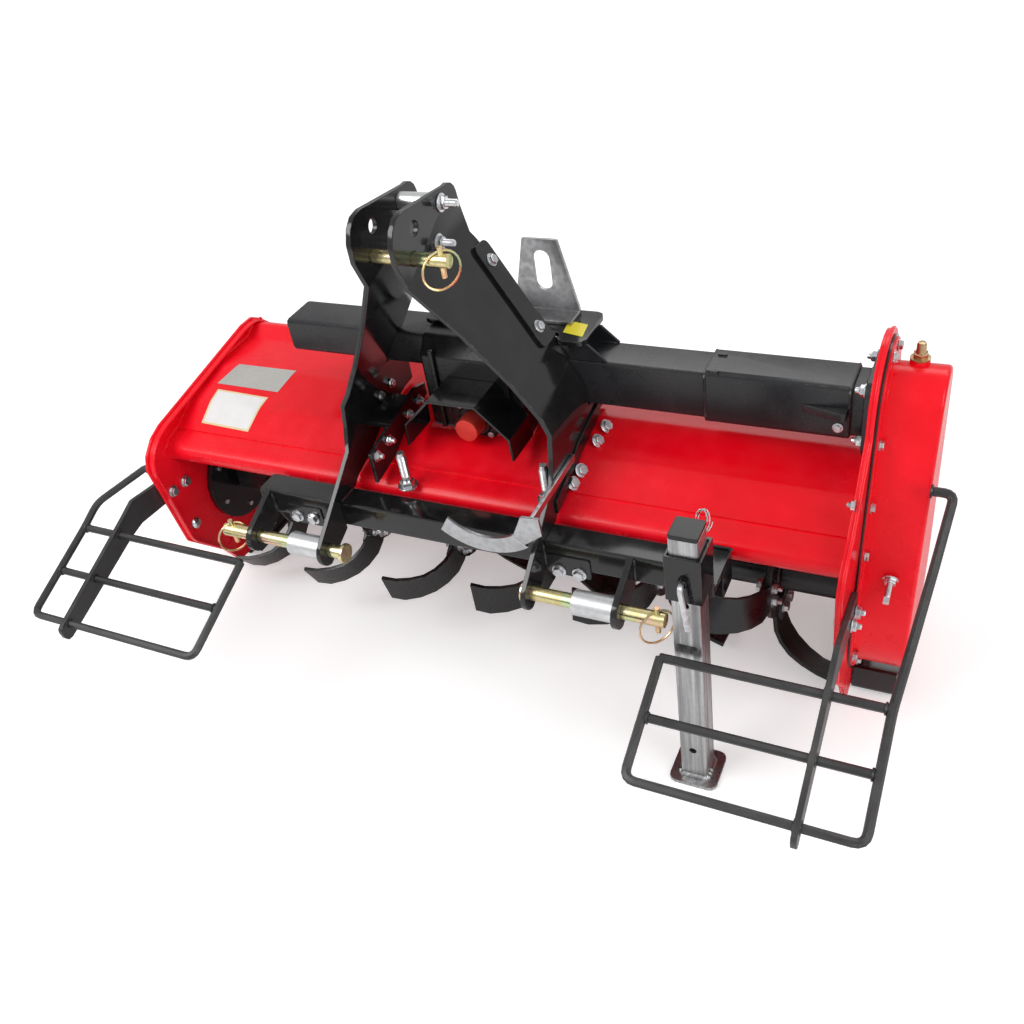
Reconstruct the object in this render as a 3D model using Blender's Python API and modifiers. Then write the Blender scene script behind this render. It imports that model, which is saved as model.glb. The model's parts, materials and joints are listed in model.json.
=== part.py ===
# Three-point rotary tiller for a small tractor, standing parked on its two skids and its parking leg.
# Metres, +Z up. +X is the chain case side, -Y is the tractor side, and the origin is on the ground
# below the middle of the overall box.
import bpy
import bmesh
import math
from mathutils import Matrix, Vector

# Overall sizes
PIN_Z = 0.291            # height of the lower hitch pins when parked
PLATE_IN = 1.179         # clear width between the two side plates
PLATE_SHIFT = 0.0045     # their middle sits this far to the case side of the hitch's middle
PLATE_T = 0.006          # side plate thickness
GAP = 0.0003             # gap between two pieces that touch

# Hood sheet
DECK_T = 0.004
WINDOW_GAP = 0.006       # gap between the hood window and the gearbox

# Rotor
ROTOR_Y = 0.257          # rotor axis behind the lower pins
ROTOR_Z = 0.188          # rotor axis above the ground
ROTOR_R = 0.182          # tine tip radius
ROTOR_TUBE_R = 0.032
STUB_R = 0.018
STUB_GAP = 0.001
TUBE_CLEAR = 0.012       # from the bearing cover to the rotor tube
BEARING_T = 0.012        # bearing cover on the left plate
BEARING_R = 0.092
TINE_SETS = 6
TINE_PITCH = 0.181
TINE_SHIFT = 0.018       # middle of the blade sets, on the case side of the middle between the plates
TINES_EACH = 4
TINE_T = 0.007
TINE_W = 0.058
TINE_TILT = 20           # degrees that the outer end of a blade leans forwards
TINE_REACH = 0.098       # sideways reach of a blade from its flange
FLANGE_R = 0.080
FLANGE_T = 0.008
TINE_STEP = 12           # degrees from one set of blades to the next
TINE_START = -93         # of the last set, from straight down

# Hitch
PIN_R = 0.011
TOP_PIN_R = 0.0095
HOLE_GAP = 0.0005        # radial gap of a pin in its hole
HEAD_T = 0.006
RING_R = 0.025           # ring clips on the pins
EAR_T = 0.010
EAR_IN_X = 0.176         # middle of the inner ears
EAR_OUT_X = 0.313        # middle of the outer ears
EAR_R = 0.026
SLEEVE_R = 0.019
SLEEVE_L = 0.062
MAST_T = 0.008
MAST_GAP = 0.054         # clear width between the mast plates at the top pin
MAST_PIN_Y = 0.098
MAST_H = 0.462           # top pin above the lower pins
MAST_REAR = 0.272        # rear edge over the tube
BAR = 0.045              # square toolbar behind the clevises
BAR_Y = 0.056            # its front face
BAR_Z = 0.005            # its underside above the lower pins

# Drive line
TUBE_Y = 0.296
TUBE_Z = 0.191           # above the lower pins
TUBE_D = 0.064           # depth front to back
TUBE_H = 0.076
COVER_WALL = 0.004
COVER_X0 = 0.361
COVER_L = 0.202
ARM_END_X = 0.352
ARM_Y = 0.294
ARM_Z = 0.221
ARM_D = 0.074
ARM_H = 0.058
BOX_W = 0.170            # gearbox width
BOX_Y0 = 0.232
BOX_Y1 = 0.345
BOX_Z0 = 0.093
BOX_Z1 = 0.256
CARRIER_X1 = 0.185       # right end of the plate on top of it
CARRIER_Y0 = 0.255       # its front edge outside the right mast plate
CARRIER_STEP = 0.141     # where that edge steps back to pass behind the mast plate
CARRIER_T = 0.008
PTO_Z = 0.125
PTO_Y = 0.190            # front end of the cap
PTO_R = 0.0175
CAP_R = 0.0200
CASE_T = 0.078           # chain case depth with its flange
CASE_FLANGE_T = 0.006
CASE_Y = 0.312           # middle of its upper end
CASE_Z = 0.192
CASE_BACK = 0.010        # its lower end sits this far behind and below the rotor axis
CASE_DROP = 0.012
CASE_TOP_R = 0.052
CASE_LOW_R = 0.112
CASE_TOP_LIP = 0.031
CASE_LIP = 0.013
CROWN_R = 0.096          # upper end of the right side plate

# Parking leg
LEG = 0.040
LEG_X = 0.419
LEG_Y = -0.010
LEG_TOP = 0.176          # above the lower pins
LEG_GAP = 0.0007
SLEEVE_WALL = 0.004
SLEEVE_Z0 = 0.076
SLEEVE_Z1 = 0.150
FOOT = 0.072
FOOT_T = 0.006

# Guards
ROD_R = 0.0065
GUARD_OUT_LEFT = 0.675
GUARD_OUT_RIGHT = 0.683
GUARD_IN_LEFT = 0.328
GUARD_IN_RIGHT = 0.384
GUARD_Y0 = -0.201
GUARD_Y1 = -0.042
GUARD_Z0 = -0.090
GUARD_Z1 = -0.028
ARM_T = 0.008

# Rear flap
HINGE_Y = 0.486
HINGE_Z = 0.060          # above the lower pins
HINGE_R = 0.008
FLAP_T = 0.004
FLAP_SIDE_GAP = 0.006

SKID_OUT = 0.066         # reach of a skid outside its side plate
SKID_IN = 0.010          # and inside the plate's inner face
SKID_T = 0.008
SKID_Y0 = 0.230          # front end of the flat sole
SKID_Y1 = 0.470
SKID_NOSE = 0.054        # height of its raised front end
WEB_T = 0.006
WEB_H = 0.062

for old in list(bpy.data.objects):
    bpy.data.objects.remove(old, do_unlink=True)

parts = bpy.data.collections.new("rotary_tiller")
bpy.context.scene.collection.children.link(parts)
cutters = bpy.data.collections.new("cutters")
bpy.context.scene.collection.children.link(cutters)


def paint(name, colour, roughness, metallic):
    material = bpy.data.materials.new(name)
    material.use_nodes = True
    shader = material.node_tree.nodes["Principled BSDF"]
    shader.inputs["Base Color"].default_value = (*colour, 1.0)
    shader.inputs["Roughness"].default_value = roughness
    shader.inputs["Metallic"].default_value = metallic
    return material


RED = paint("red_paint", (0.78, 0.010, 0.016), 0.25, 0.0)
BLACK = paint("black_paint", (0.012, 0.012, 0.014), 0.25, 0.0)
GREY_BLACK = paint("worn_black", (0.045, 0.047, 0.052), 0.45, 0.0)
ZINC = paint("zinc_plate", (0.62, 0.63, 0.64), 0.35, 1.0)
GOLD = paint("yellow_zinc", (0.66, 0.56, 0.30), 0.30, 1.0)
RED_CAP = paint("red_plastic", (0.80, 0.045, 0.030), 0.45, 0.0)
PLASTIC = paint("black_plastic", (0.020, 0.020, 0.022), 0.50, 0.0)
STEEL = paint("steel", (0.45, 0.45, 0.46), 0.35, 1.0)

machine = bpy.data.objects.new("machine", None)
parts.objects.link(machine)

TURN = {
    "X": Matrix(((0, 0, 1), (1, 0, 0), (0, 1, 0))).to_4x4(),
    "Y": Matrix(((1, 0, 0), (0, 0, -1), (0, 1, 0))).to_4x4(),
    "Z": Matrix.Identity(4),
}


def up(z):
    return PIN_Z + z


def circle(cx, cy, r, n=24):
    turns = [2 * math.pi * i / n for i in range(n)]
    return [(cx + r * math.cos(a), cy + r * math.sin(a)) for a in turns]


def arc(cx, cy, r, a0, a1, n=8):
    steps = [math.radians(a0 + (a1 - a0) * i / n) for i in range(n + 1)]
    return [(cx + r * math.cos(a), cy + r * math.sin(a)) for a in steps]


def box_outline(x0, x1, y0, y1):
    return [(x0, y0), (x1, y0), (x1, y1), (x0, y1)]


def rounded(points, radius, n=3):
    # Rounds each corner of a closed outline, less where its sides are short.
    out = []
    count = len(points)
    for i in range(count):
        p = Vector(points[i])
        a = Vector(points[i - 1]) - p
        b = Vector(points[(i + 1) % count]) - p
        turn = a.angle(b)
        reach = min(radius / math.tan(turn / 2), a.length * 0.45, b.length * 0.45)
        r = reach * math.tan(turn / 2)
        centre = p + (a.normalized() + b.normalized()).normalized() * (r / math.sin(turn / 2))
        start = p + a.normalized() * reach - centre
        end = p + b.normalized() * reach - centre
        first = math.atan2(start.y, start.x)
        swing = (math.atan2(end.y, end.x) - first + math.pi) % (2 * math.pi) - math.pi
        for k in range(n + 1):
            t = first + swing * k / n
            out.append((centre.x + r * math.cos(t), centre.y + r * math.sin(t)))
    return out


def thick(line, t):
    # Closed outline of a bent sheet: an open line, with its thickness half to each side.
    left = []
    right = []
    count = len(line)
    for i, p in enumerate(line):
        p = Vector(p)
        before = (p - Vector(line[i - 1])).normalized() if i else None
        after = (Vector(line[i + 1]) - p).normalized() if i < count - 1 else None
        if before is None:
            before = after
        if after is None:
            after = before
        n0 = Vector((-before.y, before.x))
        n1 = Vector((-after.y, after.x))
        mid = (n0 + n1).normalized()
        off = mid * (t / 2 / max(mid.dot(n0), 0.3))
        left.append(tuple(p + off))
        right.append(tuple(p - off))
    return left + right[::-1]


def place(obj, material, parent=None):
    obj.data.materials.append(material)
    parts.objects.link(obj)
    obj.parent = parent or machine
    return obj


def flat(name, outlines, axis, lo, hi):
    # A flat shape, with any holes, drawn out along one axis from lo to hi.
    data = bpy.data.curves.new(name, "CURVE")
    data.dimensions = "2D"
    data.fill_mode = "BOTH"
    data.extrude = (hi - lo) / 2
    for outline in outlines:
        spline = data.splines.new("POLY")
        spline.points.add(len(outline) - 1)
        for point, (a, b) in zip(spline.points, outline):
            point.co = (a, b, 0, 1)
        spline.use_cyclic_u = True
    obj = bpy.data.objects.new(name, data)
    middle = (lo + hi) / 2
    shift = {"X": (middle, 0, 0), "Y": (0, middle, 0), "Z": (0, 0, middle)}[axis]
    obj.matrix_world = Matrix.Translation(shift) @ TURN[axis]
    return obj


def rod(name, points, radius, closed=False):
    data = bpy.data.curves.new(name, "CURVE")
    data.dimensions = "3D"
    data.bevel_depth = radius
    data.bevel_resolution = 2
    data.use_fill_caps = True
    spline = data.splines.new("POLY")
    spline.points.add(len(points) - 1)
    for point, p in zip(spline.points, points):
        point.co = (*p, 1)
    spline.use_cyclic_u = closed
    return bpy.data.objects.new(name, data)


def solid(obj, weld=0.00001):
    # The evaluated shape as one welded mesh, in the same place.
    bpy.context.scene.collection.objects.link(obj)
    bpy.context.view_layer.update()
    graph = bpy.context.evaluated_depsgraph_get()
    mesh = bpy.data.meshes.new_from_object(obj.evaluated_get(graph))
    name = obj.name
    matrix = obj.matrix_world.copy()
    bpy.data.objects.remove(obj, do_unlink=True)
    bm = bmesh.new()
    bm.from_mesh(mesh)
    bmesh.ops.remove_doubles(bm, verts=bm.verts, dist=weld)
    bmesh.ops.transform(bm, matrix=matrix, verts=bm.verts)
    bmesh.ops.recalc_face_normals(bm, faces=bm.faces)
    bm.to_mesh(mesh)
    bm.free()
    mesh.materials.clear()
    done = bpy.data.objects.new(name, mesh)
    return done


def combine(obj, other, operation):
    cutters.objects.link(other)
    other.parent = machine
    other.hide_render = True
    other.display_type = "WIRE"
    step = obj.modifiers.new(operation.lower(), "BOOLEAN")
    step.operation = operation
    step.solver = "EXACT"
    step.object = other
    return obj


def turned(name, profile, axis, centre):
    # A profile of (radius, place along the axis), listed from its far end, turned round the axis.
    mesh = bpy.data.meshes.new(name)
    bm = bmesh.new()
    verts = [bm.verts.new((r, 0, h)) for r, h in profile]
    for a, b in zip(verts, verts[1:]):
        bm.edges.new((a, b))
    if profile[0][0] > 0:
        bm.edges.new((verts[-1], verts[0]))
    bm.to_mesh(mesh)
    bm.free()
    obj = bpy.data.objects.new(name, mesh)
    step = obj.modifiers.new("turn", "SCREW")
    step.axis = "Z"
    step.steps = 24
    step.render_steps = 24
    step.use_merge_vertices = True
    step.merge_threshold = 0.00002
    turn = {"X": Matrix.Rotation(math.pi / 2, 4, "Y"), "Y": Matrix.Rotation(-math.pi / 2, 4, "X"),
            "Z": Matrix.Identity(4)}[axis]
    obj.matrix_world = Matrix.Translation(centre) @ turn
    return obj


def bent(points, radius, n=4):
    # An open 3-D line with its inner corners rounded.
    out = [Vector(points[0])]
    for i in range(1, len(points) - 1):
        p = Vector(points[i])
        a = (Vector(points[i - 1]) - p)
        b = (Vector(points[i + 1]) - p)
        reach = min(radius, a.length * 0.45, b.length * 0.45)
        start = p + a.normalized() * reach
        end = p + b.normalized() * reach
        for k in range(n + 1):
            t = k / n
            out.append(start * (1 - t) ** 2 + p * 2 * t * (1 - t) + end * t ** 2)
    out.append(Vector(points[-1]))
    return [tuple(p) for p in out]


def inner(side):
    # Inner face of the left (-1) or right (1) side plate.
    return PLATE_SHIFT + side * PLATE_IN / 2


def outer(side):
    return inner(side) + side * PLATE_T


LEFT_IN = inner(-1)
RIGHT_IN = inner(1)

# Side plates. The right one runs up over the torque tube and carries the chain case.
front_low = [(0.180, 0.016), (0.150, up(-0.222)), (0.081, up(-0.142)), (0.060, up(0.036)), (0.070, up(0.060)),
             (0.095, up(0.082)), (0.123, up(0.093))]
rear_low = [(0.449, up(0.128)), (0.492, up(0.086)), (0.506, up(0.020)), (0.506, up(-0.150)), (0.470, 0.016)]
left_outline = rounded(front_low + [(0.394, up(0.142)), (0.426, up(0.142))] + rear_low, 0.012)
crown = arc(CASE_Y, up(CASE_Z), CROWN_R, 186, 20, 12)
right_outline = front_low + crown + rear_low
hinge_hole = circle(HINGE_Y, up(HINGE_Z), HINGE_R + HOLE_GAP, 12)
left_shaft_hole = circle(ROTOR_Y, ROTOR_Z, 0.062, 24)
right_shaft_hole = circle(ROTOR_Y, ROTOR_Z, 0.050, 24)
place(flat("side_plate_left", [left_outline, hinge_hole, left_shaft_hole], "X", outer(-1), LEFT_IN), RED)
place(flat("side_plate_right", [right_outline, hinge_hole, right_shaft_hole], "X", RIGHT_IN, outer(1)), RED)

# Hood sheet between the plates, with a rolled front lip and a raised rear edge.
lip_y = BAR_Y + BAR + GAP + DECK_T / 2
deck_line = [(lip_y + 0.008, up(0.020)), (lip_y, up(0.026)), (lip_y, up(0.044)), (lip_y + 0.014, up(0.057)),
             (0.160, up(0.067)), (0.210, up(0.092)), (0.300, up(0.112)), (0.400, up(0.114)),
             (0.424, up(0.130)), (0.444, up(0.124)), (0.462, up(0.094)), (0.4665, up(0.080)), (0.468, up(0.070))]
deck = solid(flat("hood_deck", [thick(deck_line, DECK_T)], "X", LEFT_IN + GAP, RIGHT_IN - GAP))
window = solid(flat("hood_window", [box_outline(-BOX_W / 2 - WINDOW_GAP, BOX_W / 2 + WINDOW_GAP,
                                                 BOX_Y0 - WINDOW_GAP, BOX_Y1 + WINDOW_GAP)],
                    "Z", up(0.050), up(0.180)))
combine(place(deck, RED), window, "DIFFERENCE")

# Toolbar and clevises.
bar_z0 = up(BAR_Z)
bar_z1 = up(BAR_Z + BAR)
bar_y1 = BAR_Y + BAR
BAR_X0 = -EAR_OUT_X - 0.020
BAR_X1 = LEG_X + LEG / 2 + LEG_GAP + SLEEVE_WALL
bar_outline = rounded(box_outline(BAR_Y, bar_y1, bar_z0, bar_z1), 0.005, 2)
place(flat("toolbar", [bar_outline], "X", BAR_X0, BAR_X1), BLACK)

ear_hole = circle(0, PIN_Z, PIN_R + HOLE_GAP, 16)
ear = arc(0, PIN_Z, EAR_R, 105, 262, 10) + [(BAR_Y - GAP, bar_z0 - 0.004), (BAR_Y - GAP, bar_z1 + 0.004)]
for side, name in ((-1, "clevis_ear_left"), (1, "clevis_ear_right")):
    x = side * EAR_OUT_X
    place(flat(name, [ear, ear_hole], "X", x - EAR_T / 2, x + EAR_T / 2), BLACK)

# Mast plates: each runs from the inner ear up over the hood to the top pin, bent inwards, and is cut
# out round the tube that it is carried by.
top_x = MAST_GAP / 2 + MAST_T / 2
mast_top = MAST_H + 0.066
bend_high = MAST_H - 0.032
bend_low = 0.185


def mast_outline(y, depth, z, height):
    cut_y = y - depth / 2 - 0.002
    cut_z = up(z + height / 2 + 0.002)
    line = arc(0, PIN_Z, EAR_R, 128, 262, 9)
    line += [(BAR_Y - GAP, bar_z0 - 0.004), (BAR_Y - GAP, bar_z1 + GAP), (bar_y1 + 0.003, bar_z1 + GAP)]
    line += [(0.118, up(0.062)), (0.158, up(0.073)), (0.208, up(0.098)), (0.300, up(0.119)), (0.324, up(0.120))]
    line += [(0.324, up(z - height / 2 - 0.002)), (cut_y, up(z - height / 2 - 0.002))]
    line += [(cut_y, cut_z), (MAST_REAR, cut_z), (MAST_REAR, up(0.296))]
    line += [(0.252, up(0.422)), (0.236, up(0.474))]
    line += arc(0.210, up(mast_top - 0.034), 0.022, 10, 105, 4)
    line += [(0.094, up(mast_top)), (0.077, up(mast_top - 0.003)), (0.064, up(mast_top - 0.014))]
    line += [(0.056, up(mast_top - 0.032)), (0.056, up(0.470)), (0.072, up(0.430)), (0.103, up(0.350))]
    line += [(0.126, up(0.262)), (0.133, up(0.207)), (0.122, up(0.153)), (0.110, up(0.113))]
    return line


mast_holes = [
    ear_hole,
    circle(MAST_PIN_Y, up(MAST_H), TOP_PIN_R + HOLE_GAP, 16),
    circle(MAST_PIN_Y + 0.015, up(MAST_H + 0.035), 0.010, 16),
]
for side, name, sizes in ((-1, "mast_plate_left", (ARM_Y, ARM_D, ARM_Z, ARM_H)),
                          (1, "mast_plate_right", (TUBE_Y, TUBE_D, TUBE_Z, TUBE_H))):
    front = [(side * top_x, up(mast_top + 0.02)), (side * top_x, up(bend_high)),
             (side * EAR_IN_X, up(bend_low)), (side * EAR_IN_X, up(-0.050))]
    sheet = solid(flat(name, [thick(front, MAST_T)], "Y", -0.060, 0.380))
    cut = solid(flat(name + "_outline", [mast_outline(*sizes)] + mast_holes, "X", -0.250, 0.250))
    combine(place(sheet, BLACK), cut, "INTERSECT")

spacer_y = 0.186
spacer_z = up(MAST_H + 0.038)
place(turned("mast_spacer", [(0, MAST_GAP / 2 - GAP), (0.0125, MAST_GAP / 2 - GAP),
                             (0.0125, -MAST_GAP / 2 + GAP), (0, -MAST_GAP / 2 + GAP)],
             "X", (0, spacer_y, spacer_z)), ZINC)

# Pins with a head disc at one end, and a ring clip through the other.
def hitch_pin(name, radius, head_x, tip_x, y, z, clip_x):
    side = 1 if tip_x > head_x else -1
    ends = sorted((head_x, tip_x))
    mid = (ends[0] + ends[1]) / 2
    half = (ends[1] - ends[0]) / 2
    head = radius * 1.45
    neck = half - HEAD_T
    profile = [(0, half), (radius, half), (radius, -neck), (head, -neck), (head, -half), (0, -half)]
    if side < 0:
        profile = [(0, half), (head, half), (head, neck), (radius, neck), (radius, -half), (0, -half)]
    body = solid(turned(name, profile, "X", (mid, y, z)))
    n = 24
    middle = Vector((clip_x, y - 0.004, z - 0.011))
    across = Vector((0.78, 0.63, 0.0)) * RING_R
    down = Vector((0.0, -0.26, -0.96)) * RING_R
    turn = [tuple(middle + across * math.sin(2 * math.pi * i / n) + down * math.cos(2 * math.pi * i / n))
            for i in range(n)]
    ring = solid(rod(name + "_ring", turn, 0.0017, True))
    peg = solid(turned(name + "_peg", [(0, radius + 0.010), (0.004, radius + 0.010),
                                       (0.004, -radius - 0.014), (0, -radius - 0.014)], "Z", (clip_x, y, z)))
    combine(body, peg, "UNION")
    combine(body, ring, "UNION")
    return place(body, GOLD)


in_face = EAR_IN_X - MAST_T / 2
out_face = EAR_OUT_X + EAR_T / 2
hitch_pin("lower_pin_left", PIN_R, -in_face + 0.032, -out_face - 0.060, 0, PIN_Z, -out_face - 0.046)
hitch_pin("lower_pin_right", PIN_R, in_face - 0.0065, out_face + 0.062, 0, PIN_Z, out_face + 0.050)
top_face = MAST_GAP / 2 + MAST_T
hitch_pin("top_link_pin", TOP_PIN_R, -top_face - 0.010, top_face + 0.052, MAST_PIN_Y, up(MAST_H),
          top_face + 0.040)

for side, name, x0 in ((-1, "pin_sleeve_left", -EAR_IN_X - MAST_T / 2 - GAP - SLEEVE_L),
                       (1, "pin_sleeve_right", EAR_OUT_X - EAR_T / 2 - GAP - SLEEVE_L)):
    mid = x0 + SLEEVE_L / 2
    place(turned(name, [(SLEEVE_R, SLEEVE_L / 2), (SLEEVE_R, -SLEEVE_L / 2),
                        (PIN_R + HOLE_GAP, -SLEEVE_L / 2), (PIN_R + HOLE_GAP, SLEEVE_L / 2)],
                 "X", (mid, 0, PIN_Z)), ZINC)

# Drive line: gearbox, carrier plate, torque tube with its flange, cover and left arm.
tube_z = up(TUBE_Z)
box_x = BOX_W / 2
place(flat("gearbox", [rounded([(BOX_Y0, up(BOX_Z0)), (BOX_Y1, up(BOX_Z0)), (BOX_Y1, up(BOX_Z1)),
                                (BOX_Y0 + 0.020, up(BOX_Z1)), (BOX_Y0, up(BOX_Z1 - 0.030))], 0.010, 2)],
           "X", -box_x, box_x), BLACK)


def tube_outline(y, z, depth, height, radius):
    return rounded(box_outline(y - depth / 2, y + depth / 2, up(z) - height / 2, up(z) + height / 2), radius, 2)


tube = solid(flat("torque_tube", [tube_outline(TUBE_Y, TUBE_Z, TUBE_D, TUBE_H, 0.006)], "X", box_x + GAP,
                  RIGHT_IN - 0.006))
flange_outline = box_outline(TUBE_Y - 0.058, TUBE_Y + 0.058, tube_z - 0.058, tube_z + 0.058)
flange = solid(flat("tube_flange", [rounded(flange_outline, 0.020, 3)], "X", RIGHT_IN - 0.012, RIGHT_IN - GAP))
combine(place(tube, GREY_BLACK), flange, "UNION")
grow_in = 2 * GAP
grow_out = 2 * (GAP + COVER_WALL)
place(flat("tube_cover", [tube_outline(TUBE_Y, TUBE_Z, TUBE_D + grow_out, TUBE_H + grow_out, 0.009),
                          tube_outline(TUBE_Y, TUBE_Z, TUBE_D + grow_in, TUBE_H + grow_in, 0.006)],
           "X", COVER_X0, COVER_X0 + COVER_L), GREY_BLACK)
place(flat("arm_tube", [tube_outline(ARM_Y, ARM_Z, ARM_D, ARM_H, 0.008)], "X", -ARM_END_X, -box_x - GAP),
      GREY_BLACK)
plate_z = up(BOX_Z1) + GAP
carrier_x0 = -box_x - 0.010
carrier_y0 = MAST_REAR + 0.008
carrier_y1 = BOX_Y1 + 0.004
carrier = [(carrier_x0, carrier_y0), (CARRIER_STEP, carrier_y0), (CARRIER_STEP, CARRIER_Y0),
           (CARRIER_X1, CARRIER_Y0), (CARRIER_X1, carrier_y1), (carrier_x0, carrier_y1)]
place(flat("carrier_plate", [rounded(carrier, 0.012, 2)], "Z", plate_z, plate_z + CARRIER_T), BLACK)

# Lifting plate: a foot on the carrier plate and an upright with a long hole.
lift_x = 0.097
lift_y = BOX_Y1 - 0.012
lift_z = plate_z + CARRIER_T + GAP
slot = arc(lift_x, lift_z + 0.051, 0.0135, 180, 360, 8) + arc(lift_x, lift_z + 0.088, 0.0135, 0, 180, 8)
upright = solid(flat("lifting_plate", [[(lift_x - 0.053, lift_z), (lift_x + 0.053, lift_z),
                                        (lift_x + 0.053, lift_z + 0.010), (lift_x + 0.028, lift_z + 0.119),
                                        (lift_x - 0.028, lift_z + 0.119), (lift_x - 0.053, lift_z + 0.010)], slot],
                     "Y", lift_y, lift_y + 0.006))
foot = solid(flat("lifting_foot", [box_outline(lift_x - 0.053, lift_x + 0.053, lift_y - 0.034, lift_y + 0.003)],
                  "Z", lift_z, lift_z + 0.006))
combine(place(upright, ZINC), foot, "UNION")

# Input shaft, which turns in the gearbox, and its cap.
input_shaft = bpy.data.objects.new("input_axis", None)
parts.objects.link(input_shaft)
input_shaft.parent = machine
input_shaft.location = (0, BOX_Y0, up(PTO_Z))
shaft_y = PTO_Y + 0.004
cap_z = up(PTO_Z)
place(turned("pto_shaft", [(0, BOX_Y0 - GAP), (PTO_R, BOX_Y0 - GAP), (PTO_R, shaft_y), (0, shaft_y)], "Y",
             (0, 0, cap_z)), STEEL)
place(turned("pto_cap", [(PTO_R + GAP, BOX_Y0 - 0.012), (CAP_R, BOX_Y0 - 0.012), (CAP_R - 0.0006, PTO_Y),
                         (0, PTO_Y), (0, shaft_y - GAP), (PTO_R + GAP, shaft_y - GAP)], "Y",
             (0, 0, cap_z)), RED_CAP)

# Shield round the input shaft: a bent sheet against the gearbox front.
shield = [(-0.092, up(0.104)), (-0.090, up(0.142)), (-0.040, up(0.192)), (0.040, up(0.192)), (0.090, up(0.142)),
          (0.092, up(0.104))]
place(flat("pto_shield", [thick(shield, 0.004)], "Y", BOX_Y0 - 0.072, BOX_Y0 - GAP), BLACK)

# Holder for the loose drive shaft: a flat crescent and the strap that carries it.
hold_y = 0.017
hold_t = 0.006
cx = 0.108
crescent = arc(cx, up(0.1635), 0.1155, 231, 306, 14) + arc(cx, up(0.156), 0.082, 302, 225, 12)
hook = solid(flat("shaft_holder", [crescent], "Y", hold_y, hold_y + hold_t))
strap_x = EAR_IN_X + MAST_T / 2 + GAP
strap_end = strap_x + 0.006
strap = solid(flat("holder_strap", [box_outline(hold_y + 0.002, 0.180, up(0.108), up(0.120))], "X",
                   strap_x, strap_end))
link_outline = [(cx + 0.040, up(0.074)), (cx + 0.058, up(0.070)), (strap_end + 0.014, up(0.096)),
                (strap_end + 0.012, up(0.126)), (strap_x - 0.010, up(0.124))]
link = solid(flat("holder_link", [link_outline], "Y", hold_y + 0.0005, hold_y + hold_t - 0.0005))
combine(place(hook, ZINC), link, "UNION")
combine(hook, strap, "UNION")

# Chain case on the right plate.
flange_x = outer(1) + GAP
case_x = flange_x + CASE_FLANGE_T
case_end = flange_x + CASE_T


def case_shape(top_r, low_r):
    # Two arcs joined by the straight lines that touch both.
    low_y = ROTOR_Y + CASE_BACK
    low_z = ROTOR_Z - CASE_DROP
    rise = up(CASE_Z) - low_z
    lean = math.degrees(math.atan2(rise, CASE_Y - low_y))
    spread = math.degrees(math.acos((low_r - top_r) / math.hypot(CASE_Y - low_y, rise)))
    top = arc(CASE_Y, up(CASE_Z), top_r, lean + spread, lean - spread, 14)
    return top + arc(low_y, low_z, low_r, lean - spread, lean + spread - 360, 14)


case_bore = circle(ROTOR_Y, ROTOR_Z, STUB_R + STUB_GAP, 16)
case_flange = case_shape(CASE_TOP_R + CASE_TOP_LIP, CASE_LOW_R + CASE_LIP)
case = solid(flat("chain_case", [case_flange, case_bore], "X", flange_x, case_x))
body = solid(flat("case_body", [case_shape(CASE_TOP_R, CASE_LOW_R)], "X", case_x - 0.0001, case_end))
combine(place(case, RED), body, "UNION")

# Skids: a sole under each side plate with a raised nose outside it, and an upright on the plate's inner face.
for side, name in ((-1, "skid_left"), (1, "skid_right")):
    sole_x = sorted((inner(side) - side * SKID_IN, outer(side) + side * SKID_OUT))
    sole = solid(flat(name, [box_outline(sole_x[0], sole_x[1], SKID_Y0, SKID_Y1)], "Z", 0, SKID_T))
    web_x = sorted((inner(side) - side * GAP, inner(side) - side * WEB_T))
    web = solid(flat(name + "_web", [box_outline(SKID_Y0, SKID_Y1 - 0.020, SKID_T / 2, WEB_H)], "X", *web_x))
    nose_x = sorted((outer(side) + side * GAP, outer(side) + side * SKID_OUT))
    nose_line = [(SKID_Y0 - 0.018, SKID_NOSE), (SKID_Y0 - 0.021, 0.020), (SKID_Y0 - 0.012, 0.0065),
                 (SKID_Y0 + 0.002, SKID_T / 2)]
    nose = solid(flat(name + "_nose", [thick(nose_line, SKID_T)], "X", nose_x[0], nose_x[1]))
    combine(place(sole, BLACK), web, "UNION")
    combine(sole, nose, "UNION")

# Rotor: a tube with stub shafts, and flanges with curved blades. It turns on its own axis.
rotor = bpy.data.objects.new("rotor_axis", None)
parts.objects.link(rotor)
rotor.parent = machine
rotor.location = (0, ROTOR_Y, ROTOR_Z)
cover_in = LEFT_IN + BEARING_T
tube_left = cover_in + TUBE_CLEAR
tube_right = RIGHT_IN - BEARING_T - TUBE_CLEAR
stub_left = outer(-1) + 0.001
stub_right = case_x - GAP - 0.001
rotor_tube = turned("rotor_tube", [(0, stub_right), (STUB_R, stub_right), (STUB_R, tube_right),
                                   (ROTOR_TUBE_R, tube_right), (ROTOR_TUBE_R, tube_left), (STUB_R, tube_left),
                                   (STUB_R, stub_left), (0, stub_left)], "X", (0, 0, 0))
place(rotor_tube, BLACK, rotor)
place(turned("bearing_cover", [(BEARING_R, cover_in), (BEARING_R, LEFT_IN + GAP),
                               (STUB_R + STUB_GAP, LEFT_IN + GAP), (STUB_R + STUB_GAP, cover_in)],
             "X", (0, ROTOR_Y, ROTOR_Z)), BLACK)


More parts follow.
